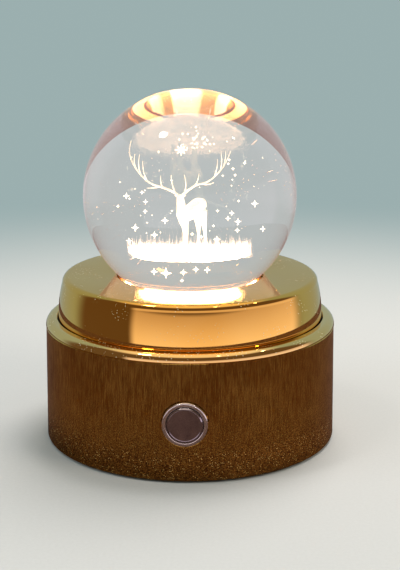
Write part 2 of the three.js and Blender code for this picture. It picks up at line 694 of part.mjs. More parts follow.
function addCircuitBoard(parent) {
  const BOARD = [34, BOARD_T, 22];
  const BODY = [6, 3.2, 6];
  const CHIP = [6, 1.6, 5];
  const PLUNGER = { radius: 1.7, length: 1.9 };
  const middleY = BOARD_Y + BOARD_T / 2;
  const backY = BOARD_Y + BOARD_T + GAP;
  piece(parent, 'circuit_board', box(...BOARD, [0, middleY, 20.5]), circuitGreen);
  const plungerBack = -PLUNGER_FRONT_Y - PLUNGER.length;
  const plunger = facingFront(disc(PLUNGER.radius, plungerBack, PLUNGER.length, 16));
  const body = box(...BODY, [0, BOARD_Y - GAP - BODY[1] / 2, BUTTON_Z]);
  piece(parent, 'tact_switch', shaped(body, { add: [plunger] }), blackPlastic);
  piece(parent, 'driver_chip', box(...CHIP, [-4, backY + CHIP[1] / 2, 22]), blackPlastic);
  const connectorY = backY + CONNECTOR[1] / 2;
  piece(parent, 'led_connector', box(...CONNECTOR, [10, connectorY, 26]), whitePlastic);
  piece(parent, 'power_connector', box(...CONNECTOR, [10, connectorY, 16]), whitePlastic);
}

function addBattery(parent) {
  const ROUND = 0.6;
  const CAP = { radius: 3, height: 0.8 };
  const lying = (geometry) => geometry.rotateY(Math.PI / 2).translate(0, CELL_Y, CELL_Z);
  const half = CELL_LENGTH / 2;
  const cellProfile = [
    [0, -half], [CELL_R - ROUND, -half], [CELL_R, -half + ROUND], [CELL_R, half - ROUND],
    [CELL_R - ROUND, half], [CAP.radius, half], [CAP.radius, half + CAP.height],
    [0, half + CAP.height],
  ];
  piece(parent, 'battery_cell', lying(turned(cellProfile)), cellWrap);
  addCradle(parent, lying);
  [-1, 1].forEach((side, i) => {
    const plate = box(0.5, 8, 8, [side * (half + 1.75), CELL_Y, CELL_Z]);
    piece(parent, `battery_contact_${i + 1}`, plate, steel);
  });
}

function addCradle(parent, lying) {
  const [END, SIDE, RISE] = [4.5, 1.8, 2]; // how far it reaches past the cell's ends, sides, axis
  const low = COVER_TOP_Z + GAP;
  const high = CELL_Z + RISE;
  const size = [CELL_LENGTH + 2 * END, 2 * (CELL_R + SIDE), high - low];
  const block = box(...size, [0, CELL_Y, (low + high) / 2]);
  const radius = CELL_R + GAP;
  const trough = new THREE.CylinderGeometry(radius, radius, CELL_LENGTH + 5, 24);
  const cut = [lying(trough.rotateX(Math.PI / 2))];
  piece(parent, 'battery_cradle', shaped(block, { cut }), blackPlastic);
}

function addChargeSocket(parent) {
  const BOARD = [20, 12, BOARD_T];
  const SHELL = { width: 9, height: 3.2, corner: 1.5, length: 7.4, wall: 0.3, back: 0.8 };
  const boardZ = COVER_TOP_Z + SOCKET_POST_HEIGHT + GAP;
  piece(parent, 'charge_board', box(...BOARD, [0, 45, boardZ + BOARD_T / 2]), circuitGreen);
  const { width, height, corner, length, wall, back } = SHELL;
  const inside = roundedRectangle(width - 2 * wall, height - 2 * wall, corner - wall);
  const outer = extruded(roundedRectangle(width, height, corner), length, 0, 4);
  const mouth = extruded(inside, length, back, 4);
  const tongue = box(6.6, 0.7, 5.2, [0, 0, 3.2]);
  const shell = toGeometry(toSolid(outer).subtract(toSolid(mouth)).add(toSolid(tongue)));
  const socket = piece(parent, 'charge_socket', shell, steel);
  socket.rotation.x = -Math.PI / 2;
  socket.position.set(0, SOCKET_MOUTH_Y - length, SOCKET_Z);
}

function addLeads(parent) {
  const startY = BOARD_Y + BOARD_T + GAP + CONNECTOR[1] + 2 * GAP;
  const ledRoute = (x) => [
    [10 + x, startY, 26], [8 + x, -22, 27], [2 * x, -8, 31], [x, -3.4, 36], [x, -4, 45.1],
  ];
  const powerRoute = (x, side) => [
    [10 + x, startY, 16], [10 + x, -20, 12], [14 + side * 12, -12, 10], [side * 38.5, 2, 15],
    [side * 38, 12, 19.8], [side * 36.2, CELL_Y - 5.5, CELL_Z + 3.8],
    [side * 35.4, CELL_Y - 3, CELL_Z + 3.6],
  ];
  const APART = 1.2; // each lead of a pair lies this far from the pair's middle
  piece(parent, 'led_lead_positive', tube(ledRoute(APART), LEAD_R, 14), copperRed);
  piece(parent, 'led_lead_negative', tube(ledRoute(-APART), LEAD_R, 14), blackPlastic);
  piece(parent, 'battery_lead_positive', tube(powerRoute(APART, 1), LEAD_R, 18), copperRed);
  piece(parent, 'battery_lead_negative', tube(powerRoute(-APART, -1), LEAD_R, 18), blackPlastic);
}

// ---- The whole object ------------------------------------------------------------------

function buildCrystalBallLamp() {
  const lamp = new THREE.Group();
  const drum = group(lamp);
  addDrumShell(drum);
  addShoulderRing(drum);
  addDeck(drum);
  addLampPost(drum);
  addLights(drum);
  addMotor(drum);
  addBottomCover(drum);
  addFeet(drum);
  addButtonBezel(drum);
  addBezelNut(drum);
  addButtonSpring(drum);
  addCircuitBoard(drum);
  addBattery(drum);
  addChargeSocket(drum);
  addLeads(drum);
  addPinion(lamp);
  addButtonCap(lamp);
  const stage = group(lamp);
  addStageShell(stage);
  addTurntable(stage);
  addRingGear(stage);
  addSeat(stage);
  addBall(stage);
  return lamp;
}

export default buildCrystalBallLamp();
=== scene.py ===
"""Engraved crystal-ball lamp: the looks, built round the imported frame.

Metres, Z up, the push button facing -Y. Places come from the CAD nodes' boxes; the sizes below are
design sizes in millimetres, turned into metres by mm().
"""

import json
import math
import random

import bmesh
import bpy
from mathutils import Matrix, Vector


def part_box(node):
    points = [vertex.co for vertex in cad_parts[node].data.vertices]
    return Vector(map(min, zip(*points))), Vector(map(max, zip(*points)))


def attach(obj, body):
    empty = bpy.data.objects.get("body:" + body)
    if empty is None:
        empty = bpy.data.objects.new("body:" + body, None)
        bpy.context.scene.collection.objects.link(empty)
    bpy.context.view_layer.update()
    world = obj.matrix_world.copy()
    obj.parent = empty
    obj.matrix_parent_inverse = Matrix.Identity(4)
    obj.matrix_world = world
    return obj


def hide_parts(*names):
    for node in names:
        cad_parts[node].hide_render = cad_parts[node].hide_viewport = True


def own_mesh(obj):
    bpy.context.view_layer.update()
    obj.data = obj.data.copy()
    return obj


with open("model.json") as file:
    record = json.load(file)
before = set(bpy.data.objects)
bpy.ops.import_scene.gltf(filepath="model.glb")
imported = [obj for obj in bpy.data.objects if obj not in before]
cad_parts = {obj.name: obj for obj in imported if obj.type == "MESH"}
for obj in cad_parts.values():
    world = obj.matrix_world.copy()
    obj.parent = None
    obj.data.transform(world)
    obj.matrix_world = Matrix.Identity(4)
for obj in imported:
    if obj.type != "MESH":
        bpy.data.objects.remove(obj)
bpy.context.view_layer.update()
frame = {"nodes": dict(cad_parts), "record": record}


def mm(value):
    return value / 1000


# ---- Places, from the frame ------------------------------------------------------------


def box_of(node):
    low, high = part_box(node)
    return Vector(low), Vector(high)


BALL_LOW, BALL_HIGH = box_of("crystal_ball")
BALL_CENTRE = (BALL_LOW + BALL_HIGH) / 2
BALL_R = (BALL_HIGH.z - BALL_LOW.z) / 2
STAGE_LOW, STAGE_HIGH = box_of("stage_shell")
STAGE_R = STAGE_HIGH.x
SHOULDER_LOW, SHOULDER_HIGH = box_of("shoulder_ring")
DRUM_LOW, DRUM_HIGH = box_of("drum_shell")
BEZEL_LOW, BEZEL_HIGH = box_of("button_bezel")
BUTTON_Z = (BEZEL_LOW.z + BEZEL_HIGH.z) / 2
LENS_TOP_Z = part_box("lamp_lens")[1][2]

# ---- Mesh helpers ----------------------------------------------------------------------


def new_object(name, mesh):
    piece = bpy.data.objects.new(name, mesh)
    bpy.context.scene.collection.objects.link(piece)
    return piece


def shade(piece, even=True, sharp_degrees=35):
    mesh = piece.data
    mesh.shade_smooth()
    mesh.set_sharp_from_angle(angle=math.radians(sharp_degrees))
    if not even:
        return
    weighted = piece.modifiers.new("even_normals", "WEIGHTED_NORMAL")
    weighted.weight = 100
    weighted.keep_sharp = True


def arc(r, z, radius, start, end, steps=8):
    """Profile points [r, z] of an arc, in metres, with angles in degrees."""
    points = []
    for i in range(steps + 1):
        angle = math.radians(start + (end - start) * i / steps)
        points.append((r + radius * math.cos(angle), z + radius * math.sin(angle)))
    return points


def rounded(profile, radius, steps=4):
    """A closed profile with each corner turned into a small arc."""
    out = []
    count = len(profile)
    for i, corner in enumerate(profile):
        here = Vector(corner)
        before = Vector(profile[i - 1]) - here
        after = Vector(profile[(i + 1) % count]) - here
        turn = before.angle(after)
        if turn > math.radians(150):
            out.append(corner)
            continue
        reach = radius / math.tan(turn / 2)
        reach = min(reach, 0.45 * before.length, 0.45 * after.length)
        start = here + before.normalized() * reach
        end = here + after.normalized() * reach
        for k in range(steps + 1):
            t = k / steps
            point = (1 - t) ** 2 * start + 2 * t * (1 - t) * here + t ** 2 * end
            out.append((point.x, point.y))
    return out


def lathe(name, profile, segments=160, centre=(0, 0), closed=True, even=True):
    """A turned solid. The profile runs up the outside and down the inside; an open one
    starts and ends on the axis."""
    mesh = bpy.data.meshes.new(name)
    shape = bmesh.new()
    rings = []
    for r, z in profile:
        if r < 1e-7:
            rings.append([shape.verts.new((centre[0], centre[1], z))])
            continue
        ring = []
        for k in range(segments):
            angle = 2 * math.pi * k / segments
            x, y = centre[0] + r * math.cos(angle), centre[1] + r * math.sin(angle)
            ring.append(shape.verts.new((x, y, z)))
        rings.append(ring)
    pairs = list(zip(rings, rings[1:] + rings[:1])) if closed else list(zip(rings, rings[1:]))
    for low, high in pairs:
        for k in range(segments):
            n = (k + 1) % segments
            if len(low) == 1 and len(high) == 1:
                continue
            if len(low) == 1:
                shape.faces.new((low[0], high[n], high[k]))
            elif len(high) == 1:
                shape.faces.new((low[k], low[n], high[0]))
            else:
                shape.faces.new((low[k], low[n], high[n], high[k]))
    bmesh.ops.recalc_face_normals(shape, faces=shape.faces)
    shape.to_mesh(mesh)
    shape.free()
    piece = new_object(name, mesh)
    shade(piece, even)
    return piece


def face_front(piece):
    """Lays a piece turned about +Z down, so that its +Z end faces -Y at the button's height."""
    turn = Matrix.Translation((0, 0, BUTTON_Z)) @ Matrix.Rotation(math.radians(90), 4, "X")
    piece.data.transform(turn)
    return piece


def cut(piece, cutters):
    """Cuts closed shapes out of a piece and bakes the result into its mesh."""
    for cutter in cutters:
        tool = piece.modifiers.new("cut", "BOOLEAN")
        tool.operation = "DIFFERENCE"
        tool.solver = "EXACT"
        tool.object = cutter
    piece.modifiers.move(0, len(piece.modifiers) - 1)
    depsgraph = bpy.context.evaluated_depsgraph_get()
    mesh = bpy.data.meshes.new_from_object(piece.evaluated_get(depsgraph))
    piece.modifiers.clear()
    piece.data = mesh
    for cutter in cutters:
        bpy.data.objects.remove(cutter)
    shade(piece)


def straighten_wall(piece, radius):
    """Gives the outer wall past a radius its true normals, so that the cuts don't bend its mirror."""
    piece.modifiers.clear()
    mesh = piece.data
    normals = [corner.vector.copy() for corner in mesh.corner_normals]
    for face in mesh.polygons:
        outward = Vector((face.center.x, face.center.y, 0))
        if outward.length < radius or face.normal.dot(outward.normalized()) < 0.999:
            continue
        for corner in face.loop_indices:
            place = mesh.vertices[mesh.loops[corner].vertex_index].co
            flat = Vector((place.x, place.y, 0)).normalized()
            normals[corner] = (flat + Vector((0, 0, face.normal.z))).normalized()
    mesh.normals_split_custom_set(normals)


def cylinder(name, radius, low, high):
    profile = [(0, low), (radius, low), (radius, high), (0, high)]
    return lathe(name, profile, 64, closed=False)


def rounded_bar(name, width, height, radius, length):
    """A bar along +Y with a rounded rectangular section, centred on the origin in X and Z."""
    steps = 8
    outline = []
    for k, (sx, sz) in enumerate([(1, 1), (-1, 1), (-1, -1), (1, -1)]):
        cx, cz = sx * (width / 2 - radius), sz * (height / 2 - radius)
        outline += arc(cx, cz, radius, 90 * k, 90 * (k + 1), steps)
    mesh = bpy.data.meshes.new(name)
    shape = bmesh.new()
    front = [shape.verts.new((x, 0, z)) for x, z in outline]
    back = [shape.verts.new((x, length, z)) for x, z in outline]
    count = len(outline)
    for k in range(count):
        n = (k + 1) % count
        shape.faces.new((front[k], front[n], back[n], back[k]))
    shape.faces.new(front)
    shape.faces.new(list(reversed(back)))
    bmesh.ops.recalc_face_normals(shape, faces=shape.faces)
    shape.to_mesh(mesh)
    shape.free()
    return new_object(name, mesh)


def join(name, pieces):
    """One mesh piece from several, their modifiers applied."""
    depsgraph = bpy.context.evaluated_depsgraph_get()
    shape = bmesh.new()
    for piece in pieces:
        mesh = bpy.data.meshes.new_from_object(piece.evaluated_get(depsgraph))
        mesh.transform(piece.matrix_world)
        shape.from_mesh(mesh)
        bpy.data.meshes.remove(mesh)
    mesh = bpy.data.meshes.new(name)
    shape.to_mesh(mesh)
    shape.free()
    for piece in pieces:
        bpy.data.objects.remove(piece)
    return new_object(name, mesh)


def dress(piece, body, slot, material, *nodes):
    """Gives a piece its body, material and the CAD nodes that it stands for. The record slot is not
    used.
    """
    piece.data.materials.clear()
    piece.data.materials.append(material)
    if nodes:
        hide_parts(*nodes)
    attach(piece, body)


# ---- Node helpers ----------------------------------------------------------------------


class Patterns:
    """A node tree, with short calls for the nodes that make its patterns."""

    def __init__(self, tree, coordinates="Object"):
        self.nodes, self.links = tree.nodes, tree.links
        self.place = self.nodes.new("ShaderNodeTexCoord").outputs[coordinates]

    def scaled(self, x, y, z):
        node = self.nodes.new("ShaderNodeMapping")
        node.inputs["Scale"].default_value = (x, y, z)
        self.links.new(self.place, node.inputs["Vector"])
        return node.outputs["Vector"]

    def noise(self, scale, detail=3.0, vector=None, roughness=0.5):
        node = self.nodes.new("ShaderNodeTexNoise")
        node.inputs["Scale"].default_value = scale
        node.inputs["Detail"].default_value = detail
        node.inputs["Roughness"].default_value = roughness
        self.links.new(vector or self.place, node.inputs["Vector"])
        return node.outputs["Fac"]

    def cells(self, scale):
        node = self.nodes.new("ShaderNodeTexVoronoi")
        node.inputs["Scale"].default_value = scale
        self.links.new(self.place, node.inputs["Vector"])
        return node.outputs["Distance"]

    def range(self, source, low, high, to_low=0.0, to_high=1.0, kind="LINEAR"):
        node = self.nodes.new("ShaderNodeMapRange")
        node.interpolation_type = kind
        node.inputs["From Min"].default_value = low
        node.inputs["From Max"].default_value = high
        node.inputs["To Min"].default_value = to_low
        node.inputs["To Max"].default_value = to_high
        self.links.new(source, node.inputs["Value"])
        return node.outputs["Result"]

    def math(self, operation, a, b=0.5):
        node = self.nodes.new("ShaderNodeMath")
        node.operation = operation
        for socket, value in zip(node.inputs, (a, b)):
            if isinstance(value, (int, float)):
                socket.default_value = value
            else:
                self.links.new(value, socket)
        return node.outputs["Value"]

    def mix(self, factor, a, b):
        node = self.nodes.new("ShaderNodeMix")
        node.data_type = "RGBA"
        self.links.new(factor, node.inputs["Factor"])
        for socket, value in ((node.inputs[6], a), (node.inputs[7], b)):
            if isinstance(value, tuple):
                socket.default_value = (*value, 1.0)
            else:
                self.links.new(value, socket)
        return node.outputs[2]

    def split(self):
        node = self.nodes.new("ShaderNodeSeparateXYZ")
        self.links.new(self.place, node.inputs["Vector"])
        return node.outputs

    def height(self):
        return self.split()["Z"]

    def length(self, vector):
        node = self.nodes.new("ShaderNodeVectorMath")
        node.operation = "LENGTH"
        self.links.new(vector, node.inputs[0])
        return node.outputs["Value"]

    def distance_from_axis(self):
        return self.length(self.scaled(1, 1, 0))


class Shader(Patterns):
    """A node material with one Principled shader."""

    def __init__(self, name):
        self.material = bpy.data.materials.new(name)
        self.material.use_nodes = True
        super().__init__(self.material.node_tree)
        self.bsdf = self.nodes["Principled BSDF"]

    def set(self, **values):
        for key, value in values.items():
            self.bsdf.inputs[key.replace("_", " ")].default_value = value

    def link(self, source, socket):
        self.links.new(source, self.bsdf.inputs[socket])

    def bump(self, source, strength, distance):
        node = self.nodes.new("ShaderNodeBump")
        node.inputs["Strength"].default_value = strength
        node.inputs["Distance"].default_value = distance
        self.links.new(source, node.inputs["Height"])
        self.link(node.outputs["Normal"], "Normal")


def dust_mask(shader, scale, amount):
    """Sparse specks: small cells of a fine pattern, kept only where a coarser one is high."""
    specks = shader.range(shader.cells(scale), 0.20, 0.10)
    patches = shader.range(shader.noise(scale / 9, 2.0), 0.98 - amount, 1.06 - amount)
    return shader.math("MULTIPLY", specks, patches)


# ---- Materials -------------------------------------------------------------------------

GOLD = (0.98, 0.57, 0.14)
DEEP_GOLD = (0.93, 0.50, 0.10)
# The drum's streak and foot-grain colours are painted darker than the gold: partly the plating's own
# streaks and pitting, partly painted reflection of dark felt.
STREAK_REFLECTION_LIGHT = (1.0, 0.70, 0.20)
STREAK_REFLECTION_DARK = (0.52, 0.25, 0.05)
PITTED_AND_REFLECTED = (0.34, 0.16, 0.04)
# the shoulder's gold, paler than the stage's: a painted highlight on its bead
HIGHLIGHT_GOLD = (1.0, 0.68, 0.27)
DEEP_HIGHLIGHT_GOLD = (0.97, 0.61, 0.22)
# the drum's bright foot-grain colours: partly real grain, partly painted reflection of the felt's
# weave
BRIGHT_GRAIN_AND_REFLECTION = (1.0, 0.66, 0.17)
FLECK_AND_REFLECTION = (1.0, 0.66, 0.22)
DUST = (1.0, 0.82, 0.55)

# Emission: amber between the hot spots, nearly white in them, and the strengths of both.
AMBER = (1.0, 0.50, 0.13)
LENS_HOT = (1.0, 0.86, 0.62)
RING_AMBER = (1.0, 0.46, 0.11)
CUP_AMBER = (1.0, 0.50, 0.12)
HOT = (1.0, 0.84, 0.58)
LENS_GLOW = (1.0, 9.0)
RING_GLOW = (24.0, 160.0)
CUP_GLOW = (3.0, 40.0)
UNLIT_SIDE_GLOW = 0.7


def gold_mirror(name, light=GOLD, deep=DEEP_GOLD, dust=0.46):
    """Mirror-bright gold plating with faint smudges and dust."""
    s = Shader(name)
    tone = s.range(s.noise(30, 2.0), 0.35, 0.65)
    specks = dust_mask(s, 1100, dust)
    s.link(s.mix(specks, s.mix(tone, light, deep), DUST), "Base Color")
    s.link(s.math("SUBTRACT", 1.0, specks), "Metallic")
    smudge = s.range(s.noise(70, 4.0), 0.5, 0.72, 0.02, 0.07)
    s.link(s.math("ADD", smudge, s.math("MULTIPLY", specks, 0.6)), "Roughness")
    s.bump(s.noise(160, 2.0), 0.02, mm(0.1))
    return s.material


def drum_gold():
    """The drum's plating, painted darker than the other gold: fine upright streaks, turning into a
    coarse grain near its foot. The dark tone, the streaks and the grain are partly painted reflection
    of dark felt mirrored in the plating.
    """
    s = Shader("drum_gold_plating")
    streaks = s.noise(1.0, 4.0, s.scaled(2700, 2700, 170), 0.65)
    clouds = s.range(s.noise(45, 3.0), 0.35, 0.65, -0.22, 0.22)
    tone = s.math("ADD", s.range(streaks, 0.36, 0.62), clouds)
    near_foot = s.range(s.height(), mm(24), mm(8), 0.0, 1.0)
    # painted reflection: the darker streak tones stand partly for dark felt mirrored in the upright
    # wall
    plating = s.mix(tone, STREAK_REFLECTION_LIGHT, STREAK_REFLECTION_DARK)
    # painted reflection: the coarse grain and bright specks near the foot are partly real, partly the
    # felt's weave mirrored in the plating
    pits_and_reflection = s.range(s.noise(2100, 2.0), 0.55, 0.42)
    grain = s.mix(pits_and_reflection, BRIGHT_GRAIN_AND_REFLECTION, PITTED_AND_REFLECTED)
    plating = s.mix(near_foot, plating, grain)
    flecks_and_reflection = s.range(s.cells(1900), 0.30, 0.16)
    flecks_and_reflection = s.math("MULTIPLY", flecks_and_reflection, s.range(s.noise(600, 2.0), 0.46, 0.56))
    flecks_and_reflection = s.math("MULTIPLY", flecks_and_reflection, near_foot)
    s.link(s.mix(flecks_and_reflection, plating, FLECK_AND_REFLECTION), "Base Color")
    s.link(s.math("SUBTRACT", 1.0, s.math("MULTIPLY", flecks_and_reflection, 0.35)), "Metallic")
    rough = s.range(streaks, 0.3, 0.7, 0.015, 0.045)
    s.link(s.math("ADD", rough, s.math("MULTIPLY", flecks_and_reflection, 0.3)), "Roughness")
    return s.material


def chrome(name, color, roughness=0.06):
    s = Shader(name)
    s.set(Metallic=1.0)
    wear = s.range(s.noise(300, 4.0), 0.45, 0.7)
    dull = tuple(0.9 * c for c in color)
    s.link(s.mix(wear, color, dull), "Base Color")
    s.link(s.range(s.noise(900, 3.0), 0.4, 0.7, roughness, roughness + 0.07), "Roughness")
    return s.material


def crystal():
    """Clear K9 glass with a trace of surface dust, and a faint painted glow, on the glass and its
    dust specks, standing in for lamp light scattered in the crystal.
    """
    s = Shader("crystal_glass")
    s.set(IOR=1.517, Base_Color=(0.985, 0.995, 0.995, 1.0), Roughness=0.0)
    specks = dust_mask(s, 2400, 0.47)
    s.link(s.math("SUBTRACT", 1.0, s.math("MULTIPLY", specks, 0.7)), "Transmission Weight")
    # painted glow: the glass is no lamp; this emission stands in for scattered lamp light
    s.set(Emission_Color=(1.0, 0.62, 0.58, 1.0))
    scatter_glow = s.range(s.noise(26, 2.0), 0.3, 0.7, 0.06, 0.10)
    s.link(s.math("ADD", scatter_glow, s.math("MULTIPLY", specks, 0.1)), "Emission Strength")
    return s.material


def engraving(name, strength, warm=(1.0, 0.80, 0.50), dim_above=None):
    """Laser marks: a cloud of tiny bright points, lit from below, dimmer above a height if one
    is given."""
    s = Shader(name)
    s.set(Roughness=0.9, Base_Color=(0.9, 0.88, 0.82, 1.0))
    dots = s.range(s.cells(6500), 0.1, 0.75, 1.0, 0.0)
    s.link(s.mix(dots, warm, tuple((1 + c) / 2 for c in warm)), "Emission Color")
    shading = s.math("ADD", dots, s.range(s.noise(420, 2.0), 0.35, 0.65, -0.5, 0.5))
    glow = s.range(shading, 0.0, 1.0, 0.7 * strength, 1.3 * strength)
    if dim_above is not None:
        dimming = s.range(s.height(), dim_above - mm(0.6), dim_above, 1.0, UNLIT_SIDE_GLOW)
        glow = s.math("MULTIPLY", glow, dimming)
    s.link(glow, "Emission Strength")
    return s.material


def moulded(name, color, roughness=0.5, grain=900):
    """Moulded plastic or rubber with a fine texture."""
    s = Shader(name)
    light = tuple(min(1.0, 1.15 * c + 0.005) for c in color)
    s.link(s.mix(s.range(s.noise(60, 3.0), 0.4, 0.6), color, light), "Base Color")
    s.link(s.range(s.noise(grain, 2.0), 0.35, 0.65, roughness - 0.08, roughness + 0.08), "Roughness")
    s.bump(s.noise(grain * 3, 2.0), 0.15, mm(0.05))
    return s.material


def steel():
    s = Shader("brushed_steel")
    s.set(Metallic=1.0)
    brushed = s.noise(1.0, 3.0, s.scaled(300, 300, 3000))
    s.link(s.mix(brushed, (0.5, 0.5, 0.51), (0.68, 0.67, 0.66)), "Base Color")
    s.link(s.range(brushed, 0.3, 0.7, 0.25, 0.42), "Roughness")
    return s.material


LEDS = ("led_1", "led_2", "led_3", "led_4", "led_5")


def frosted_lens():
    """The lit diffuser under the ball: amber, with a hot spot over each light chip."""
    s = Shader("lit_lens")
    s.set(Base_Color=(1.0, 0.93, 0.8, 1.0), Roughness=0.4)
    nearest = None
    for node in LEDS:
        low, high = box_of(node)
        distance = s.nodes.new("ShaderNodeVectorMath")
        distance.operation = "DISTANCE"
        s.links.new(s.place, distance.inputs[0])
        distance.inputs[1].default_value = ((low.x + high.x) / 2, (low.y + high.y) / 2, LENS_TOP_Z)
        value = distance.outputs["Value"]
        nearest = s.math("MINIMUM", nearest, value) if nearest else value
    hot = s.range(nearest, mm(0.6), mm(3.2), 1.0, 0.0, "SMOOTHSTEP")
    s.link(s.mix(hot, AMBER, LENS_HOT), "Emission Color")
    s.link(s.range(hot, 0.0, 1.0, *LENS_GLOW), "Emission Strength")
    return s.material


def lit_ring(middle):
    """The clear seat ring, which carries the lamp's light to the ball through its inner half.
    The middle is the radius of the circle that its section is centred on."""
    s = Shader("lit_seat_ring")
    s.set(Base_Color=(0.9, 0.86, 0.78, 1.0), Roughness=0.35)
    hot = s.range(s.cells(140), 0.15, 0.6, 1.0, 0.0, "SMOOTHSTEP")
    s.link(s.mix(hot, RING_AMBER, HOT), "Emission Color")
    inward = s.range(s.distance_from_axis(), middle - mm(0.35), middle, 1.0, 0.01)
    strength = s.math("MULTIPLY", s.range(hot, 0.0, 1.0, *RING_GLOW), inward)
    s.link(strength, "Emission Strength")
    s.bump(s.noise(1200, 2.0), 0.1, mm(0.05))
    return s.material


def lit_cup(inner):
    """The gold seat cup, its bore lit by the lamp in upright streaks."""
    s = Shader("cup_gold_plating")
    s.set(Metallic=1.0)
    s.link(s.mix(s.range(s.noise(30, 2.0), 0.35, 0.65), GOLD, DEEP_GOLD), "Base Color")
    s.link(s.range(s.noise(70, 4.0), 0.5, 0.72, 0.03, 0.09), "Roughness")
    hot = s.range(s.noise(1.0, 2.0, s.scaled(160, 160, 12)), 0.46, 0.62, kind="SMOOTHSTEP")
    s.link(s.mix(hot, CUP_AMBER, HOT), "Emission Color")
    bore = s.range(s.distance_from_axis(), inner + mm(0.1), inner + mm(0.2), 1.0, 0.0)
    s.link(s.math("MULTIPLY", s.range(hot, 0.0, 1.0, *CUP_GLOW), bore), "Emission Strength")
    return s.material


# ---- Gold base -------------------------------------------------------------------------

STAGE_ARC_R = mm(52)
STAGE_RIM_R = mm(2.3)
STAGE_HOLE_R = mm(27.7)
SHELF_Z = mm(47)
STAGE_HOLE_ROUND = mm(0.8)
STAGE_WALL = mm(2.2)
FOOT_BEVEL = mm(0.25)
WALL_STEPS = 48


def stage_radius(z):
    rise = max(0.0, z - SHELF_Z)
    return STAGE_R - (STAGE_ARC_R - math.sqrt(STAGE_ARC_R ** 2 - rise ** 2))


def build_stage(gold):
    top, foot = STAGE_HIGH.z, STAGE_LOW.z
    rim_z = top - STAGE_RIM_R
    rim_centre = stage_radius(rim_z) - STAGE_RIM_R
    wall = [foot + (rim_z - foot) * i / WALL_STEPS for i in range(WALL_STEPS)]
    hole_round = STAGE_HOLE_ROUND
    profile = [(stage_radius(foot) - FOOT_BEVEL, foot)]
    profile += [(stage_radius(z), max(z, foot + FOOT_BEVEL)) for z in wall]
    profile += arc(rim_centre, rim_z, STAGE_RIM_R, 0, 90, 10)
    profile += arc(STAGE_HOLE_R + hole_round, top - hole_round, hole_round, 90, 180, 6)
    profile += [(STAGE_HOLE_R, top - STAGE_WALL), (rim_centre - mm(1), top - STAGE_WALL)]
    profile += [(stage_radius(z) - STAGE_WALL, z) for z in (mm(57), mm(52), foot)]
    shell = lathe("stage_gold_shell", profile, 256, even=False)
    dress(shell, "stage", "gold_plate", gold, "stage_shell")


def build_shoulder(gold):
    inner, spigot, bead, bevel = mm(50.65), mm(52.8), mm(2.8), mm(0.2)
    top, low, seat = SHOULDER_HIGH.z, SHOULDER_LOW.z, mm(44.2)
    profile = arc(SHOULDER_HIGH.x - bead, top - bead, bead, 0, 90, 12)
    profile += [(inner + bevel, top), (inner, top - bevel), (inner, low)]
    profile += [(spigot, low), (spigot, seat)]
    piece = lathe("shoulder_gold_ring", profile, 256)
    dress(piece, "drum", "gold_plate", gold, "shoulder_ring")


# The charging window's cutter: its width, height, corner radius and length, and its place.
WINDOW_SIZE = (mm(12.6), mm(6.6), mm(2.4), mm(12))
WINDOW_START_Y = mm(48)
WINDOW_Z = mm(10.6)


def build_drum(gold):
    top_r, in_r, ledge_r = mm(54.9), mm(53.2), mm(49)
    foot_round, bevel = mm(0.8), mm(0.3)
    low, top, ledge = DRUM_LOW.z, DRUM_HIGH.z, mm(38.7)
    profile = arc(DRUM_HIGH.x - foot_round, low + foot_round, foot_round, -90, 0, 6)
    profile += [(top_r, top - bevel), (top_r - bevel, top), (in_r, top), (in_r, ledge)]
    profile += [(ledge_r, ledge), (ledge_r, ledge - mm(1.5)), (in_r, ledge - mm(3.5)), (in_r, low)]
    piece = lathe("drum_gold_shell", profile, 360)
    seat_r, seat_depth, bore_r, bore_depth, past_wall = mm(8.4), mm(54.5), mm(7.7), mm(45), mm(60)
    seat = face_front(cylinder("seat_cutter", seat_r, seat_depth, past_wall))
    bore = face_front(cylinder("bore_cutter", bore_r, bore_depth, past_wall))
    window = rounded_bar("window_cutter", *WINDOW_SIZE)
    window.data.transform(Matrix.Translation((0, WINDOW_START_Y, WINDOW_Z)))
    cut(piece, [seat, bore, window])
    straighten_wall(piece, top_r - mm(0.1))
    dress(piece, "drum", "gold_plate", gold, "drum_shell")


# ---- Ball and engraving ----------------------------------------------------------------


def build_ball(glass):
    mesh = bpy.data.meshes.new("crystal_sphere")
    shape = bmesh.new()
    bmesh.ops.create_uvsphere(shape, u_segments=160, v_segments=96, radius=BALL_R)
    bmesh.ops.translate(shape, verts=shape.verts, vec=BALL_CENTRE)
    shape.to_mesh(mesh)
    shape.free()
    mesh.shade_smooth()
    dress(new_object("crystal_sphere", mesh), "ball", "crystal", glass, "crystal_ball")


def limb(points):
    """A tapering closed tube through points (x, y, z, radius), millimetres from the ball's centre."""
    curve = bpy.data.curves.new("limb", "CURVE")
    curve.dimensions = "3D"
    curve.bevel_depth = mm(1)
    curve.bevel_resolution = 3
    curve.use_fill_caps = True
    curve.resolution_u = 8
    spline = curve.splines.new("NURBS")
    spline.points.add(len(points) - 1)
    for target, (x, y, z, radius) in zip(spline.points, points):
        place = BALL_CENTRE + Vector((mm(x), mm(y), mm(z)))
        target.co = (*place, 1.0)
        target.radius = radius
    spline.order_u = min(4, len(points))
    spline.use_endpoint_u = True
    return new_object("limb", curve)


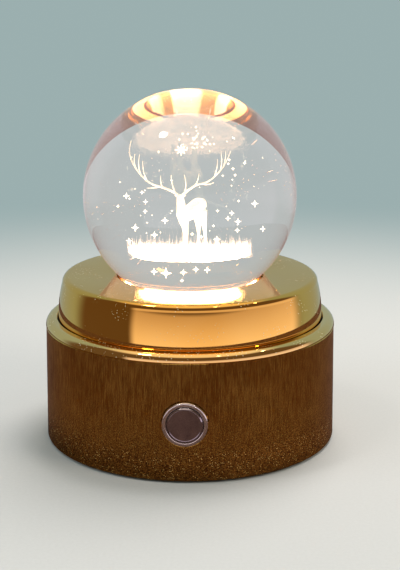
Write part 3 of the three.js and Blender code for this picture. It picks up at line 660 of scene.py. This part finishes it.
STAG_BODY = [
    # back and belly, chest to rump
    [(-2.0, 0.6, -4.8, 1.7), (-0.7, 2.0, -4.7, 1.8), (0.8, 3.6, -4.0, 2.0),
     (2.0, 5.4, -2.9, 2.0), (2.5, 6.2, -3.2, 1.5)],
    # neck
    [(-1.8, 0.8, -4.8, 1.5), (-2.2, 0.3, -2.8, 1.15), (-2.4, 0.0, -0.4, 0.9)],
    # chest
    [(-2.0, 0.5, -4.2, 1.5), (-1.5, 0.7, -7.2, 0.9)],
    # head and muzzle
    [(-2.4, 0.2, -0.2, 0.85), (-2.4, -0.9, -0.6, 0.68), (-2.4, -1.9, -1.2, 0.4)],
    # ears
    [(-2.9, 0.3, -0.1, 0.32), (-3.5, 0.4, 0.1, 0.26), (-4.0, 0.4, 0.1, 0.06)],
    [(-1.9, 0.3, -0.1, 0.32), (-1.3, 0.4, 0.1, 0.26), (-0.8, 0.4, 0.1, 0.06)],
    # tail
    [(3.0, 6.8, -2.4, 0.45), (3.4, 7.4, -3.1, 0.3), (3.5, 7.5, -4.0, 0.1)],
]


def leg(hip, hoof, hip_radius):
    """Hip to hoof, with a knee set a little back."""
    def at(t, back):
        x, y, z = (a + (b - a) * t for a, b in zip(hip, hoof))
        return x + back, y + back, z

    return [
        (*hip, hip_radius), (*at(0.3, 0.1), 0.58 * hip_radius), (*at(0.55, 0.25), 0.38),
        (*at(0.8, 0.05), 0.29), (*hoof, 0.36),
    ]


LEGS = [
    leg((-1.7, 1.2, -5.8), (-1.45, 1.1, -12.2), 0.85),
    leg((-1.1, 0.4, -5.8), (-0.9, 0.4, -12.2), 0.85),
    leg((1.4, 5.7, -4.4), (1.8, 5.4, -12.2), 1.35),
    leg((2.6, 4.8, -4.4), (3.5, 4.6, -12.2), 1.35),
]

# Antler beams and tines as (x, z) in the plane of the antlers.
LEFT_BEAM = [(-3.0, 0.3), (-4.6, 1.3), (-5.8, 1.8), (-7.2, 2.3), (-9.0, 2.7), (-10.9, 3.9),
             (-12.6, 5.6), (-14.3, 7.9), (-15.4, 10.1), (-16.0, 12.4), (-15.6, 15.2)]
LEFT_TINES = [
    [(-6.9, 2.2), (-7.4, 3.8), (-7.3, 5.3)], [(-3.7, 1.0), (-4.6, 2.9), (-4.7, 5.4)],
    [(-10.6, 3.7), (-11.9, 5.9), (-12.0, 9.1)], [(-12.3, 5.4), (-13.3, 7.8), (-12.9, 10.9)],
    [(-13.6, 6.9), (-14.5, 8.9), (-14.1, 11.0)], [(-7.2, 2.3), (-8.8, 1.9), (-10.7, 2.1)],
]
RIGHT_BEAM = [(-1.8, 0.3), (-0.6, 1.3), (0.7, 2.3), (1.9, 3.0), (3.6, 3.2), (5.9, 4.6),
              (7.9, 6.8), (9.6, 9.3), (10.7, 12.2)]
RIGHT_TINES = [
    [(-1.3, 0.8), (-0.7, 3.0), (-1.4, 5.5)], [(1.2, 2.6), (2.2, 4.0), (2.3, 5.9)],
    [(6.0, 4.7), (7.0, 6.8), (7.1, 9.7)], [(7.7, 6.6), (8.3, 9.0), (8.0, 11.7)],
    [(8.5, 7.6), (9.2, 9.6), (9.3, 11.9)], [(3.2, 3.0), (4.7, 2.7), (6.0, 3.6)],
]


def antler_part(points, start, end, depth):
    """A beam or tine that thins from start to end and leans forward by depth."""
    last = len(points) - 1
    return limb([
        (x, 0.3 - depth * (i / last) ** 2, z, start + (end - start) * i / last)
        for i, (x, z) in enumerate(points)
    ])


def build_stag(light):
    body = join("stag_body", [limb(points) for points in STAG_BODY + LEGS])
    remesh = body.modifiers.new("skin", "REMESH")
    remesh.mode = "VOXEL"
    remesh.voxel_size = mm(0.16)
    smooth = body.modifiers.new("soften", "SMOOTH")
    smooth.factor = 0.6
    smooth.iterations = 4
    parts = [body]
    for beam in (LEFT_BEAM, RIGHT_BEAM):
        parts.append(antler_part(beam, 0.31, 0.09, 1.6))
    for tine in LEFT_TINES + RIGHT_TINES:
        parts.append(antler_part(tine, 0.17, 0.06, 0.8))
    stag = join("engraved_stag", parts)
    stag.data.shade_smooth()
    dress(stag, "ball", "crystal", light)


# The turf's section, from the middle of its underside round the rim to the middle of its top.
TURF = [(5.0, -16.0), (9.0, -15.7), (11.8, -15.4), (13.2, -15.0), (13.9, -14.6), (13.7, -14.1),
        (12.4, -13.6), (9.0, -13.2), (4.0, -13.0)]
TURF_LOW_Z = -16.1
TURF_TOP_Z = -12.9
TURF_EDGE_Z = -14.0
TURF_R = 15.2
FRINGE_R = TURF_R - 1.7


def add_turf(shape, rng):
    """A flat mound with a ragged skin."""
    sides = 110
    rings = []
    for r, z in TURF:
        ring = []
        for k in range(sides):
            angle = 2 * math.pi * k / sides
            reach = r * rng.uniform(0.94, 1.03)
            level = z + rng.uniform(-0.35, 0.3)
            point = Vector((reach * math.cos(angle), reach * math.sin(angle), level))
            ring.append(shape.verts.new(BALL_CENTRE + point / 1000))
        rings.append(ring)
    low_middle = shape.verts.new(BALL_CENTRE + Vector((0, 0, TURF_LOW_Z)) / 1000)
    top_middle = shape.verts.new(BALL_CENTRE + Vector((0, 0, TURF_TOP_Z)) / 1000)
    for k in range(sides):
        n = (k + 1) % sides
        shape.faces.new((rings[0][n], rings[0][k], low_middle))
        shape.faces.new((rings[-1][k], rings[-1][n], top_middle))
        for low, high in zip(rings, rings[1:]):
            shape.faces.new((low[k], low[n], high[n], high[k]))


def add_blade(shape, root, tip, width):
    """A thin three-sided spike."""
    side = (tip - root).cross(Vector((0.3, 1.0, 0.2))).normalized() * width
    other = (tip - root).cross(side).normalized() * width
    corners = [root + side, root - 0.5 * side + other, root - 0.5 * side - other]
    low = [shape.verts.new(BALL_CENTRE + c / 1000) for c in corners]
    point = shape.verts.new(BALL_CENTRE + tip / 1000)
    for i in range(3):
        shape.faces.new((low[i], low[(i + 1) % 3], point))
    shape.faces.new(list(reversed(low)))


def add_blades(shape, rng):
    """Blades over the turf, taller towards its edge, and a fringe that leans outwards. The rise
    of each blade is counted from its root, which is sunk in the turf."""
    for _ in range(2400):
        r = TURF_R * rng.random() ** 0.75
        angle = rng.uniform(0, 2 * math.pi)
        lean = Vector((rng.uniform(-0.5, 0.5), rng.uniform(-0.5, 0.5), 0))
        outness = r / TURF_R
        sunk = 0.3 + 1.1 * outness ** 2
        root = Vector((r * math.cos(angle), r * math.sin(angle), TURF_TOP_Z - sunk))
        rise = Vector((0, 0, sunk + rng.uniform(0.3, 1.8) * (0.5 + 1.2 * outness ** 3)))
        add_blade(shape, root, root + lean + rise, rng.uniform(0.02, 0.04))
    for _ in range(520):
        angle = rng.uniform(0, 2 * math.pi)
        z = rng.uniform(-15.2, TURF_TOP_Z - 1.0)
        out = Vector((math.cos(angle), math.sin(angle), 0))
        root = out * FRINGE_R + Vector((0, 0, z))
        rise = Vector((0, 0, rng.uniform(-0.8, 2.6)))
        tip = root + out * rng.uniform(0.4, 2.3) + rise
        add_blade(shape, root, tip, rng.uniform(0.02, 0.045))


def engraved(name, build, light):
    """A piece of the engraving, filled in by build(shape, rng)."""
    shape = bmesh.new()
    build(shape, random.Random(name))
    mesh = bpy.data.meshes.new(name)
    bmesh.ops.recalc_face_normals(shape, faces=shape.faces)
    shape.to_mesh(mesh)
    shape.free()
    dress(new_object(name, mesh), "ball", "crystal", light)


def add_star(shape, centre, size, turn=0.0, slimness=0.2):
    """A solid star with six spikes: four in the plane of the picture, one each way through it.
    Its waist is the slimness times its size, and turn spins it in that plane."""
    waist = size * slimness
    spin = Matrix.Rotation(turn, 3, "Y")

    def place(v):
        return BALL_CENTRE + (centre + spin @ Vector(v)) / 1000

    tips = {}
    for axis in range(3):
        for sign in (-1, 1):
            tip = [0, 0, 0]
            tip[axis] = sign * size * (0.6 if axis == 1 else 1.0)
            tips[axis, sign] = shape.verts.new(place(tip))
    corner = {}
    for sx in (-1, 1):
        for sy in (-1, 1):
            for sz in (-1, 1):
                corner[sx, sy, sz] = shape.verts.new(place((sx * waist, sy * waist, sz * waist)))
    loop = [(-1, -1), (1, -1), (1, 1), (-1, 1)]
    for (axis, sign), tip in tips.items():
        for k in range(4):
            pair = []
            for u, v in (loop[k], loop[(k + 1) % 4]):
                key = [u, v]
                key.insert(axis, sign)
                pair.append(corner[tuple(key)])
            shape.faces.new((tip, pair[0], pair[1]))


CROWN_SLIMNESS = 0.15
# The larger stars, as (x, z, size) in the plane of the stag.
BIG_STARS = [
    (-15.7, -0.2, 0.9), (-11.9, 0.9, 0.6), (-11.0, -1.4, 0.7), (-10.9, -4.1, 0.6),
    (-6.1, -6.2, 0.9), (-13.2, -8.1, 1.0), (-8.8, -9.5, 0.9), (-15.1, -11.2, 0.8),
    (16.0, -2.1, 1.0), (10.6, -4.0, 0.7), (9.7, -5.3, 0.7), (12.0, -6.3, 0.9), (6.7, -3.8, 0.5),
    (11.4, -8.7, 0.7), (18.2, -8.4, 0.8), (0.6, -9.2, 0.5), (2.9, -9.9, 0.5), (6.6, -10.7, 0.9),
    (-8.8, -18.8, 0.9), (-6.0, -19.3, 1.5), (-1.6, -19.0, 0.9), (1.5, -18.2, 0.8),
    (4.0, -18.2, 0.8), (-2.0, -20.9, 0.5), (14.4, 9.1, 0.5), (11.0, 7.2, 0.5), (8.4, 5.5, 0.4),
]


def add_stars(shape, rng):
    for x, z, size in BIG_STARS:
        add_star(shape, Vector((x, rng.uniform(-2.5, 2.5), z)), size)
    # the crowning star: two stars, one turned by an eighth
    crown = Vector((-2.2, 0, 11.9))
    add_star(shape, crown, 1.5, math.radians(45), CROWN_SLIMNESS)
    add_star(shape, crown, 1.7, slimness=CROWN_SLIMNESS)
    # small ones all round, thick above the crowning star
    for _ in range(34):
        angle, level = rng.uniform(0, 2 * math.pi), rng.uniform(-9, 12)
        reach = rng.uniform(9, 19)
        place = Vector((reach * math.cos(angle), reach * math.sin(angle), level))
        add_star(shape, place, rng.uniform(0.2, 0.42))
    for _ in range(34):
        place = Vector((rng.gauss(2.2, 2.6), rng.gauss(0, 2.0), rng.gauss(14.5, 1.6)))
        add_star(shape, place, rng.uniform(0.18, 0.36))


# ---- Seat, lens and button -------------------------------------------------------------

CUP_GAP = mm(0.1)
LENS_INSIDE_Z = mm(49.7)


def build_cup():
    cup_low, cup_high = box_of("ball_cup")
    outer, lip, shelf_r, shelf_z = STAGE_HOLE_R - CUP_GAP, mm(1.2), mm(23), mm(56.3)
    low, top = cup_low.z, cup_high.z
    profile = [(outer, low), (outer, top), (outer - lip, top), (outer - lip, shelf_z),
               (shelf_r, shelf_z), (shelf_r, low)]
    cup = lathe("ball_cup_gold", rounded(profile, mm(0.2), 3), 160)
    dress(cup, "stage", "gold_plate", lit_cup(shelf_r), "ball_cup")


def build_seat_ring():
    ring_low, ring_high = box_of("seat_ring")
    section = (ring_high.z - ring_low.z) / 2
    middle = (ring_high.z + ring_low.z) / 2
    around = ring_high.x - section
    ring = lathe("seat_ring_soft", arc(around, middle, section, 0, 345, 23), 160)
    dress(ring, "stage", "silicone", lit_ring(around), "seat_ring")


def build_lens():
    lens_low, lens_high = box_of("lamp_lens")
    edge = lens_high.x
    inside = edge - mm(1)
    dome = [(0, LENS_INSIDE_Z), (inside, LENS_INSIDE_Z), (inside, lens_low.z),
            (edge, lens_low.z), (edge, lens_high.z - mm(0.4)), (edge - mm(3), lens_high.z),
            (0, lens_high.z)]
    lit = lathe("lamp_lens_lit", dome, 96, closed=False)
    dress(lit, "drum", "clear_plastic", frosted_lens(), "lamp_lens")


def build_bezel(bright):
    front, back = -BEZEL_LOW.y, -BEZEL_HIGH.y
    seat, floor = mm(54.8), back + mm(1)
    barrel, edge, bore, stem = mm(7.4), mm(8.1), mm(6.5), mm(2.1)
    profile = [(stem, back), (barrel, back), (barrel, seat), (edge, seat), (edge, front),
               (bore, front), (bore, floor), (stem, floor)]
    bezel = face_front(lathe("button_bezel_ring", rounded(profile, mm(0.55), 6), 128))
    dress(bezel, "drum", "bright_chrome", bright, "button_bezel")


def build_cap(dark):
    """The cap: a stem, a disc, a small outer round and a lip round its slightly dished face."""
    cap_low, cap_high = box_of("button_cap")
    front, back, end = -cap_low.y, mm(51.2), -cap_high.y
    stem, side, face, dish, outer_round, lip = mm(1.6), mm(6.35), mm(5.6), mm(0.12), mm(0.3), mm(0.2)
    profile = [(0, end), (stem, end), (stem, back), (side, back), (side, front - mm(0.75))]
    profile += arc(side - outer_round, front - mm(0.6), outer_round, 10, 60, 4)
    profile += arc(face + mm(0.25), front - lip, lip, 60, 120, 4)
    profile += [(face - mm(0.1), front - dish), (0, front - dish)]
    cap = face_front(lathe("button_cap_face", profile, 128, closed=False))
    dress(cap, "button", "bright_chrome", dark, "button_cap")


def build_spring(metal):
    """The coil spring behind the cap, built at its rest length; it does not shorten here as the cap
    is pressed.
    """
    low, high = box_of("button_spring")
    wire, turns, steps = mm(0.35), 3.5, 112
    coil_r = (high.x - low.x) / 2 - wire
    first, last = high.y - wire, low.y + wire
    curve = bpy.data.curves.new("coil", "CURVE")
    curve.dimensions = "3D"
    curve.bevel_depth = wire
    curve.bevel_resolution = 2
    curve.use_fill_caps = True
    spline = curve.splines.new("POLY")
    spline.points.add(steps)
    for k, point in enumerate(spline.points):
        angle = 2 * math.pi * turns * k / steps
        x, z = coil_r * math.cos(angle), BUTTON_Z + coil_r * math.sin(angle)
        point.co = (x, first + (last - first) * k / steps, z, 1.0)
    spring = join("button_spring_coil", [new_object("coil", curve)])
    spring.data.shade_smooth()
    dress(spring, "drum", "steel", metal, "button_spring")
    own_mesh(spring)


# ---- Underside -------------------------------------------------------------------------

SCREW_R = mm(1.3)
SCREW_HEAD_T = mm(1.6)
SLOT_WIDTH, SLOT_LENGTH, SLOT_DEPTH = mm(0.5), mm(2.8), mm(1.8)


def build_foot(number, rubber):
    """A pressed rubber foot: rounded edge, and a shallow ring groove in its sole."""
    node = f"rubber_foot_{number}"
    low, high = box_of(node)
    middle, edge = (low + high) / 2, (high.x - low.x) / 2
    groove_out, groove_in, groove, sole_round = 0.72 * edge, 0.6 * edge, mm(0.25), mm(0.5)
    profile = [(0, low.z), (groove_in, low.z), (groove_in, low.z + groove),
               (groove_out, low.z + groove), (groove_out, low.z)]
    profile += arc(edge - sole_round, low.z + sole_round, sole_round, -90, 0, 6)
    bevel = mm(0.05)
    profile += [(edge, high.z - bevel), (edge - bevel, high.z), (0, high.z)]
    foot = lathe(f"pad_{node}", profile, 72, (middle.x, middle.y), closed=False)
    dress(foot, "drum", "rubber", rubber, node)


def build_cover_screw(number, metal):
    """A cross-head screw, its domed head facing down."""
    node = f"cover_screw_{number}"
    low, high = box_of(node)
    middle, edge = (low + high) / 2, (high.x - low.x) / 2
    neck_z, dome = low.z + SCREW_HEAD_T, mm(0.45)
    profile = [(0, low.z), (0.55 * edge, low.z + 0.2 * dome), (0.85 * edge, low.z + 0.6 * dome),
               (edge, low.z + dome), (edge, neck_z), (SCREW_R, neck_z), (SCREW_R, high.z),
               (0, high.z)]
    screw = lathe(f"steel_{node}", profile, 48, (middle.x, middle.y), closed=False)
    slots = []
    for x, y in ((SLOT_WIDTH, SLOT_LENGTH), (SLOT_LENGTH, SLOT_WIDTH)):
        bpy.ops.mesh.primitive_cube_add(size=1, location=(middle.x, middle.y, low.z))
        slot = bpy.context.object
        slot.data.transform(Matrix.Diagonal((x, y, SLOT_DEPTH, 1)))
        slots.append(slot)
    cut(screw, slots)
    dress(screw, "drum", "steel", metal, node)


# ---- Studio ----------------------------------------------------------------------------

# PALE_TEAL is what the camera sees; the next four are seen only in reflections.
PALE_TEAL = (0.33, 0.43, 0.43)
BRIGHT_SIDE = (1.14, 1.01, 1.15)
BRIGHT_TOP = (0.62, 0.49, 0.50)
DARK_SIDE = (0.13, 0.085, 0.05)
OVERHEAD = (1.0, 0.88, 0.74)
# The felt flags: an oval that the plating mirrors, and a sheet that the crystal refracts.
FELT_R = 0.242
FELT_WIDENING = 1.06
FELT_SHIFT = 0.006
FELT_BACK_Y = 0.13
FELT_HALF_WIDTH = 0.6
FELT_Z = mm(0.05)


def build_floor():
    """A pale floor that passes into the backdrop's tone far from the object."""
    bpy.ops.mesh.primitive_circle_add(vertices=128, radius=4.0, fill_type="NGON")
    floor = bpy.context.object
    floor.name = "studio_floor"
    s = Shader("pale_floor")
    s.set(Roughness=0.9, Specular_IOR_Level=0.1)
    s.link(s.mix(s.noise(900, 2.0), (0.50, 0.48, 0.47), (0.55, 0.53, 0.52)), "Base Color")
    far = s.range(s.length(s.place), 0.15, 0.5, kind="SMOOTHSTEP")
    glow = s.nodes.new("ShaderNodeEmission")
    glow.inputs["Color"].default_value = (*PALE_TEAL, 1.0)
    blend = s.nodes.new("ShaderNodeMixShader")
    s.links.new(far, blend.inputs["Fac"])
    s.links.new(s.bsdf.outputs[0], blend.inputs[1])
    s.links.new(glow.outputs[0], blend.inputs[2])
    # from beneath, the floor is clear, so that the lamp's underside can be looked at
    beneath = s.nodes.new("ShaderNodeMixShader")
    s.links.new(s.nodes.new("ShaderNodeNewGeometry").outputs["Backfacing"], beneath.inputs["Fac"])
    s.links.new(blend.outputs[0], beneath.inputs[1])
    s.links.new(s.nodes.new("ShaderNodeBsdfTransparent").outputs[0], beneath.inputs[2])
    s.links.new(beneath.outputs[0], s.nodes["Material Output"].inputs["Surface"])
    floor.data.materials.append(s.material)
    floor.visible_transmission = False
    floor.visible_glossy = False
    floor.visible_shadow = False


def dark_felt():
    s = Shader("dark_felt")
    s.set(Roughness=1.0, Specular_IOR_Level=0.0)
    fibres = s.range(s.noise(950, 4.0, roughness=0.8), 0.42, 0.62)
    patches = s.range(s.noise(45, 3.0), 0.35, 0.65)
    base = s.mix(patches, (0.018, 0.010, 0.008), (0.040, 0.023, 0.018))
    s.link(s.mix(fibres, base, (0.17, 0.094, 0.070)), "Base Color")
    return s.material


def build_felt(name, outline, felt, plating_only):
    """A dark felt flag under the lamp, seen only in the plating or only through the crystal."""
    shape = bmesh.new()
    shape.faces.new([shape.verts.new((x, y, FELT_Z)) for x, y in outline])
    mesh = bpy.data.meshes.new(name)
    shape.to_mesh(mesh)
    shape.free()
    card = new_object(name, mesh)
    card.data.materials.append(felt)
    card.visible_camera = False
    card.visible_diffuse = False
    card.visible_shadow = False
    card.visible_glossy = plating_only
    card.visible_transmission = not plating_only


def build_felts():
    felt = dark_felt()
    oval = [(FELT_WIDENING * x + FELT_SHIFT, y) for x, y in arc(0, 0, FELT_R, 0, 358, 179)]
    build_felt("felt_oval", oval, felt, True)
    sides, back, front = FELT_HALF_WIDTH, FELT_BACK_Y, -FELT_HALF_WIDTH
    corners = [(sides, back), (-sides, back), (-sides, front), (sides, front)]
    build_felt("felt_sheet", corners, felt, False)


def area_light(name, azimuth, elevation, distance, size, power, color, seen=False):
    data = bpy.data.lights.new(name, "AREA")
    data.shape = "DISK"
    data.size = size
    data.energy = power
    data.color = color
    lamp = new_object(name, data)
    a, e = math.radians(azimuth), math.radians(elevation)
    aim = Vector((0, 0, 0.06))
    offset = Vector((math.sin(a) * math.cos(e), -math.cos(a) * math.cos(e), math.sin(e)))
    lamp.location = aim + distance * offset
    lamp.rotation_euler = (-offset).to_track_quat("-Z", "Y").to_euler()
    lamp.visible_glossy = seen
    lamp.visible_transmission = False


def build_lights():
    area_light("top_softbox", 150, 68, 0.9, 0.55, 8.0, (1.0, 0.97, 0.93))
    area_light("right_softbox", 58, 34, 0.95, 0.45, 3.0, (1.0, 0.90, 0.76))
    area_light("left_fill", -70, 30, 1.0, 0.5, 2.0, (0.86, 0.95, 1.0))
    area_light("left_key", -68, 67, 0.9, 0.11, 0.8, (1.0, 0.95, 0.88), seen=True)
    area_light("right_spark", 42, 67, 0.9, 0.035, 0.08, (1.0, 0.93, 0.85), seen=True)
    area_light("far_spark", 90, 55, 0.9, 0.035, 0.08, (1.0, 0.93, 0.85), seen=True)
    area_light("under_fill", 0, -75, 0.7, 0.5, 2.5, (1.0, 0.98, 0.95))


def build_world():
    """A plain teal backdrop; in the plating, a studio with a bright side, a dark side and a
    ceiling light. Azimuths run from -Y towards +X."""
    world = bpy.data.worlds.new("studio")
    bpy.context.scene.world = world
    world.use_nodes = True
    s = Patterns(world.node_tree, "Generated")
    x, y, z = s.split()
    azimuth = s.math("ARCTAN2", x, s.math("MULTIPLY", y, -1.0))
    smooth = "SMOOTHSTEP"
    left_edge = math.radians(-52), math.radians(-44)
    back_edge = math.radians(98), math.radians(118)
    left = s.range(azimuth, *left_edge, kind=smooth)
    right = s.range(azimuth, *back_edge, 1.0, 0.0, smooth)
    under = s.range(z, 0.17, 0.24, 1.0, 0.0, smooth)
    patch = s.math("MULTIPLY", s.math("MULTIPLY", left, right), under)
    back = s.range(s.math("ABSOLUTE", azimuth), *back_edge, kind=smooth)
    ceiling = s.range(z, 0.76, 0.93, kind=smooth)
    bright = s.mix(s.range(z, -0.28, 0.2), BRIGHT_SIDE, BRIGHT_TOP)
    tone = s.mix(patch, DARK_SIDE, bright)
    tone = s.mix(back, tone, PALE_TEAL)
    tone = s.mix(ceiling, tone, OVERHEAD)
    glossy = s.nodes.new("ShaderNodeLightPath").outputs["Is Glossy Ray"]
    s.links.new(s.mix(glossy, PALE_TEAL, tone), s.nodes["Background"].inputs["Color"])


# The view fitted to the photograph: where the camera stands, and how far it looks down and
# to the side of the lamp's axis.
CAMERA_LENS_MM = 80.6
CAMERA_SENSOR_MM = 36.0
CAMERA_DISTANCE = 0.472
CAMERA_HEIGHT = 0.17855
CAMERA_AZIMUTH, CAMERA_ASIDE, CAMERA_DOWN = (math.radians(d) for d in (2.0, 0.46, 14.35))


def build_camera():
    """A long-lens view from the front, a little to the right and looking down."""
    data = bpy.data.cameras.new("camera")
    data.lens = CAMERA_LENS_MM
    data.sensor_width = CAMERA_SENSOR_MM
    camera = new_object("camera", data)
    right, back = math.sin(CAMERA_AZIMUTH), math.cos(CAMERA_AZIMUTH)
    camera.location = (CAMERA_DISTANCE * right, -CAMERA_DISTANCE * back, CAMERA_HEIGHT)
    camera.rotation_euler = (math.pi / 2 - CAMERA_DOWN, 0, CAMERA_AZIMUTH - CAMERA_ASIDE)
    bpy.context.scene.camera = camera


# ---- Finish of the CAD nodes that stay -------------------------------------------------


def paint_nodes(finishes):
    """Gives each CAD node the finish of its record slot. Slots that aren't listed belong only to
    nodes that a Blender piece stands for."""
    slots = {part["node"]: part["material_slot"] for part in frame["record"]["subparts"]}
    for name, piece in frame["nodes"].items():
        if slots[name] in finishes:
            piece.data.materials.clear()
            piece.data.materials.append(finishes[slots[name]])


def main():
    metal = steel()
    rubber = moulded("black_rubber", (0.018, 0.018, 0.018), 0.8, 1500)
    build_camera()
    build_floor()
    build_felts()
    build_lights()
    build_world()
    paint_nodes({
        "steel": metal,
        "black_plastic": moulded("black_plastic", (0.02, 0.02, 0.021)),
        "white_plastic": moulded("white_plastic", (0.75, 0.74, 0.7)),
        "acetal": moulded("acetal", (0.7, 0.69, 0.66), 0.4),
        "circuit_board": moulded("circuit_board", (0.02, 0.14, 0.06), 0.4),
        "cell_wrap": moulded("cell_wrap", (0.05, 0.2, 0.4), 0.4),
        "red_wire": moulded("red_wire", (0.4, 0.03, 0.02), 0.45),
        "led": engraving("led_phosphor", 6.0, (1.0, 0.7, 0.3)),
    })
    build_stage(gold_mirror("stage_gold_plating"))
    # the shoulder ring's paler gold is a painted highlight
    build_shoulder(gold_mirror("shoulder_gold_plating", HIGHLIGHT_GOLD, DEEP_HIGHLIGHT_GOLD, 0.5))
    build_drum(drum_gold())
    build_cup()
    build_seat_ring()
    build_lens()
    build_bezel(chrome("bright_chrome", (1.0, 0.93, 0.90), 0.16))
    build_cap(chrome("dark_chrome", (0.52, 0.46, 0.50)))
    for number in range(1, 5):
        build_foot(number, rubber)
        build_cover_screw(number, metal)
    build_spring(metal)
    build_ball(crystal())
    build_stag(engraving("engraving_stag", 1.15))
    turf_edge = BALL_CENTRE.z + mm(TURF_EDGE_Z)
    turf = engraving("engraving_turf", 9.0, (1.0, 0.50, 0.22), turf_edge)
    engraved("engraved_turf", add_turf, turf)
    engraved("engraved_blades", add_blades, engraving("engraving_blades", 3.4, (1.0, 0.60, 0.36)))
    engraved("engraved_stars", add_stars, engraving("engraving_stars", 3.0))
    bpy.context.scene.view_settings.view_transform = "Standard"


main()
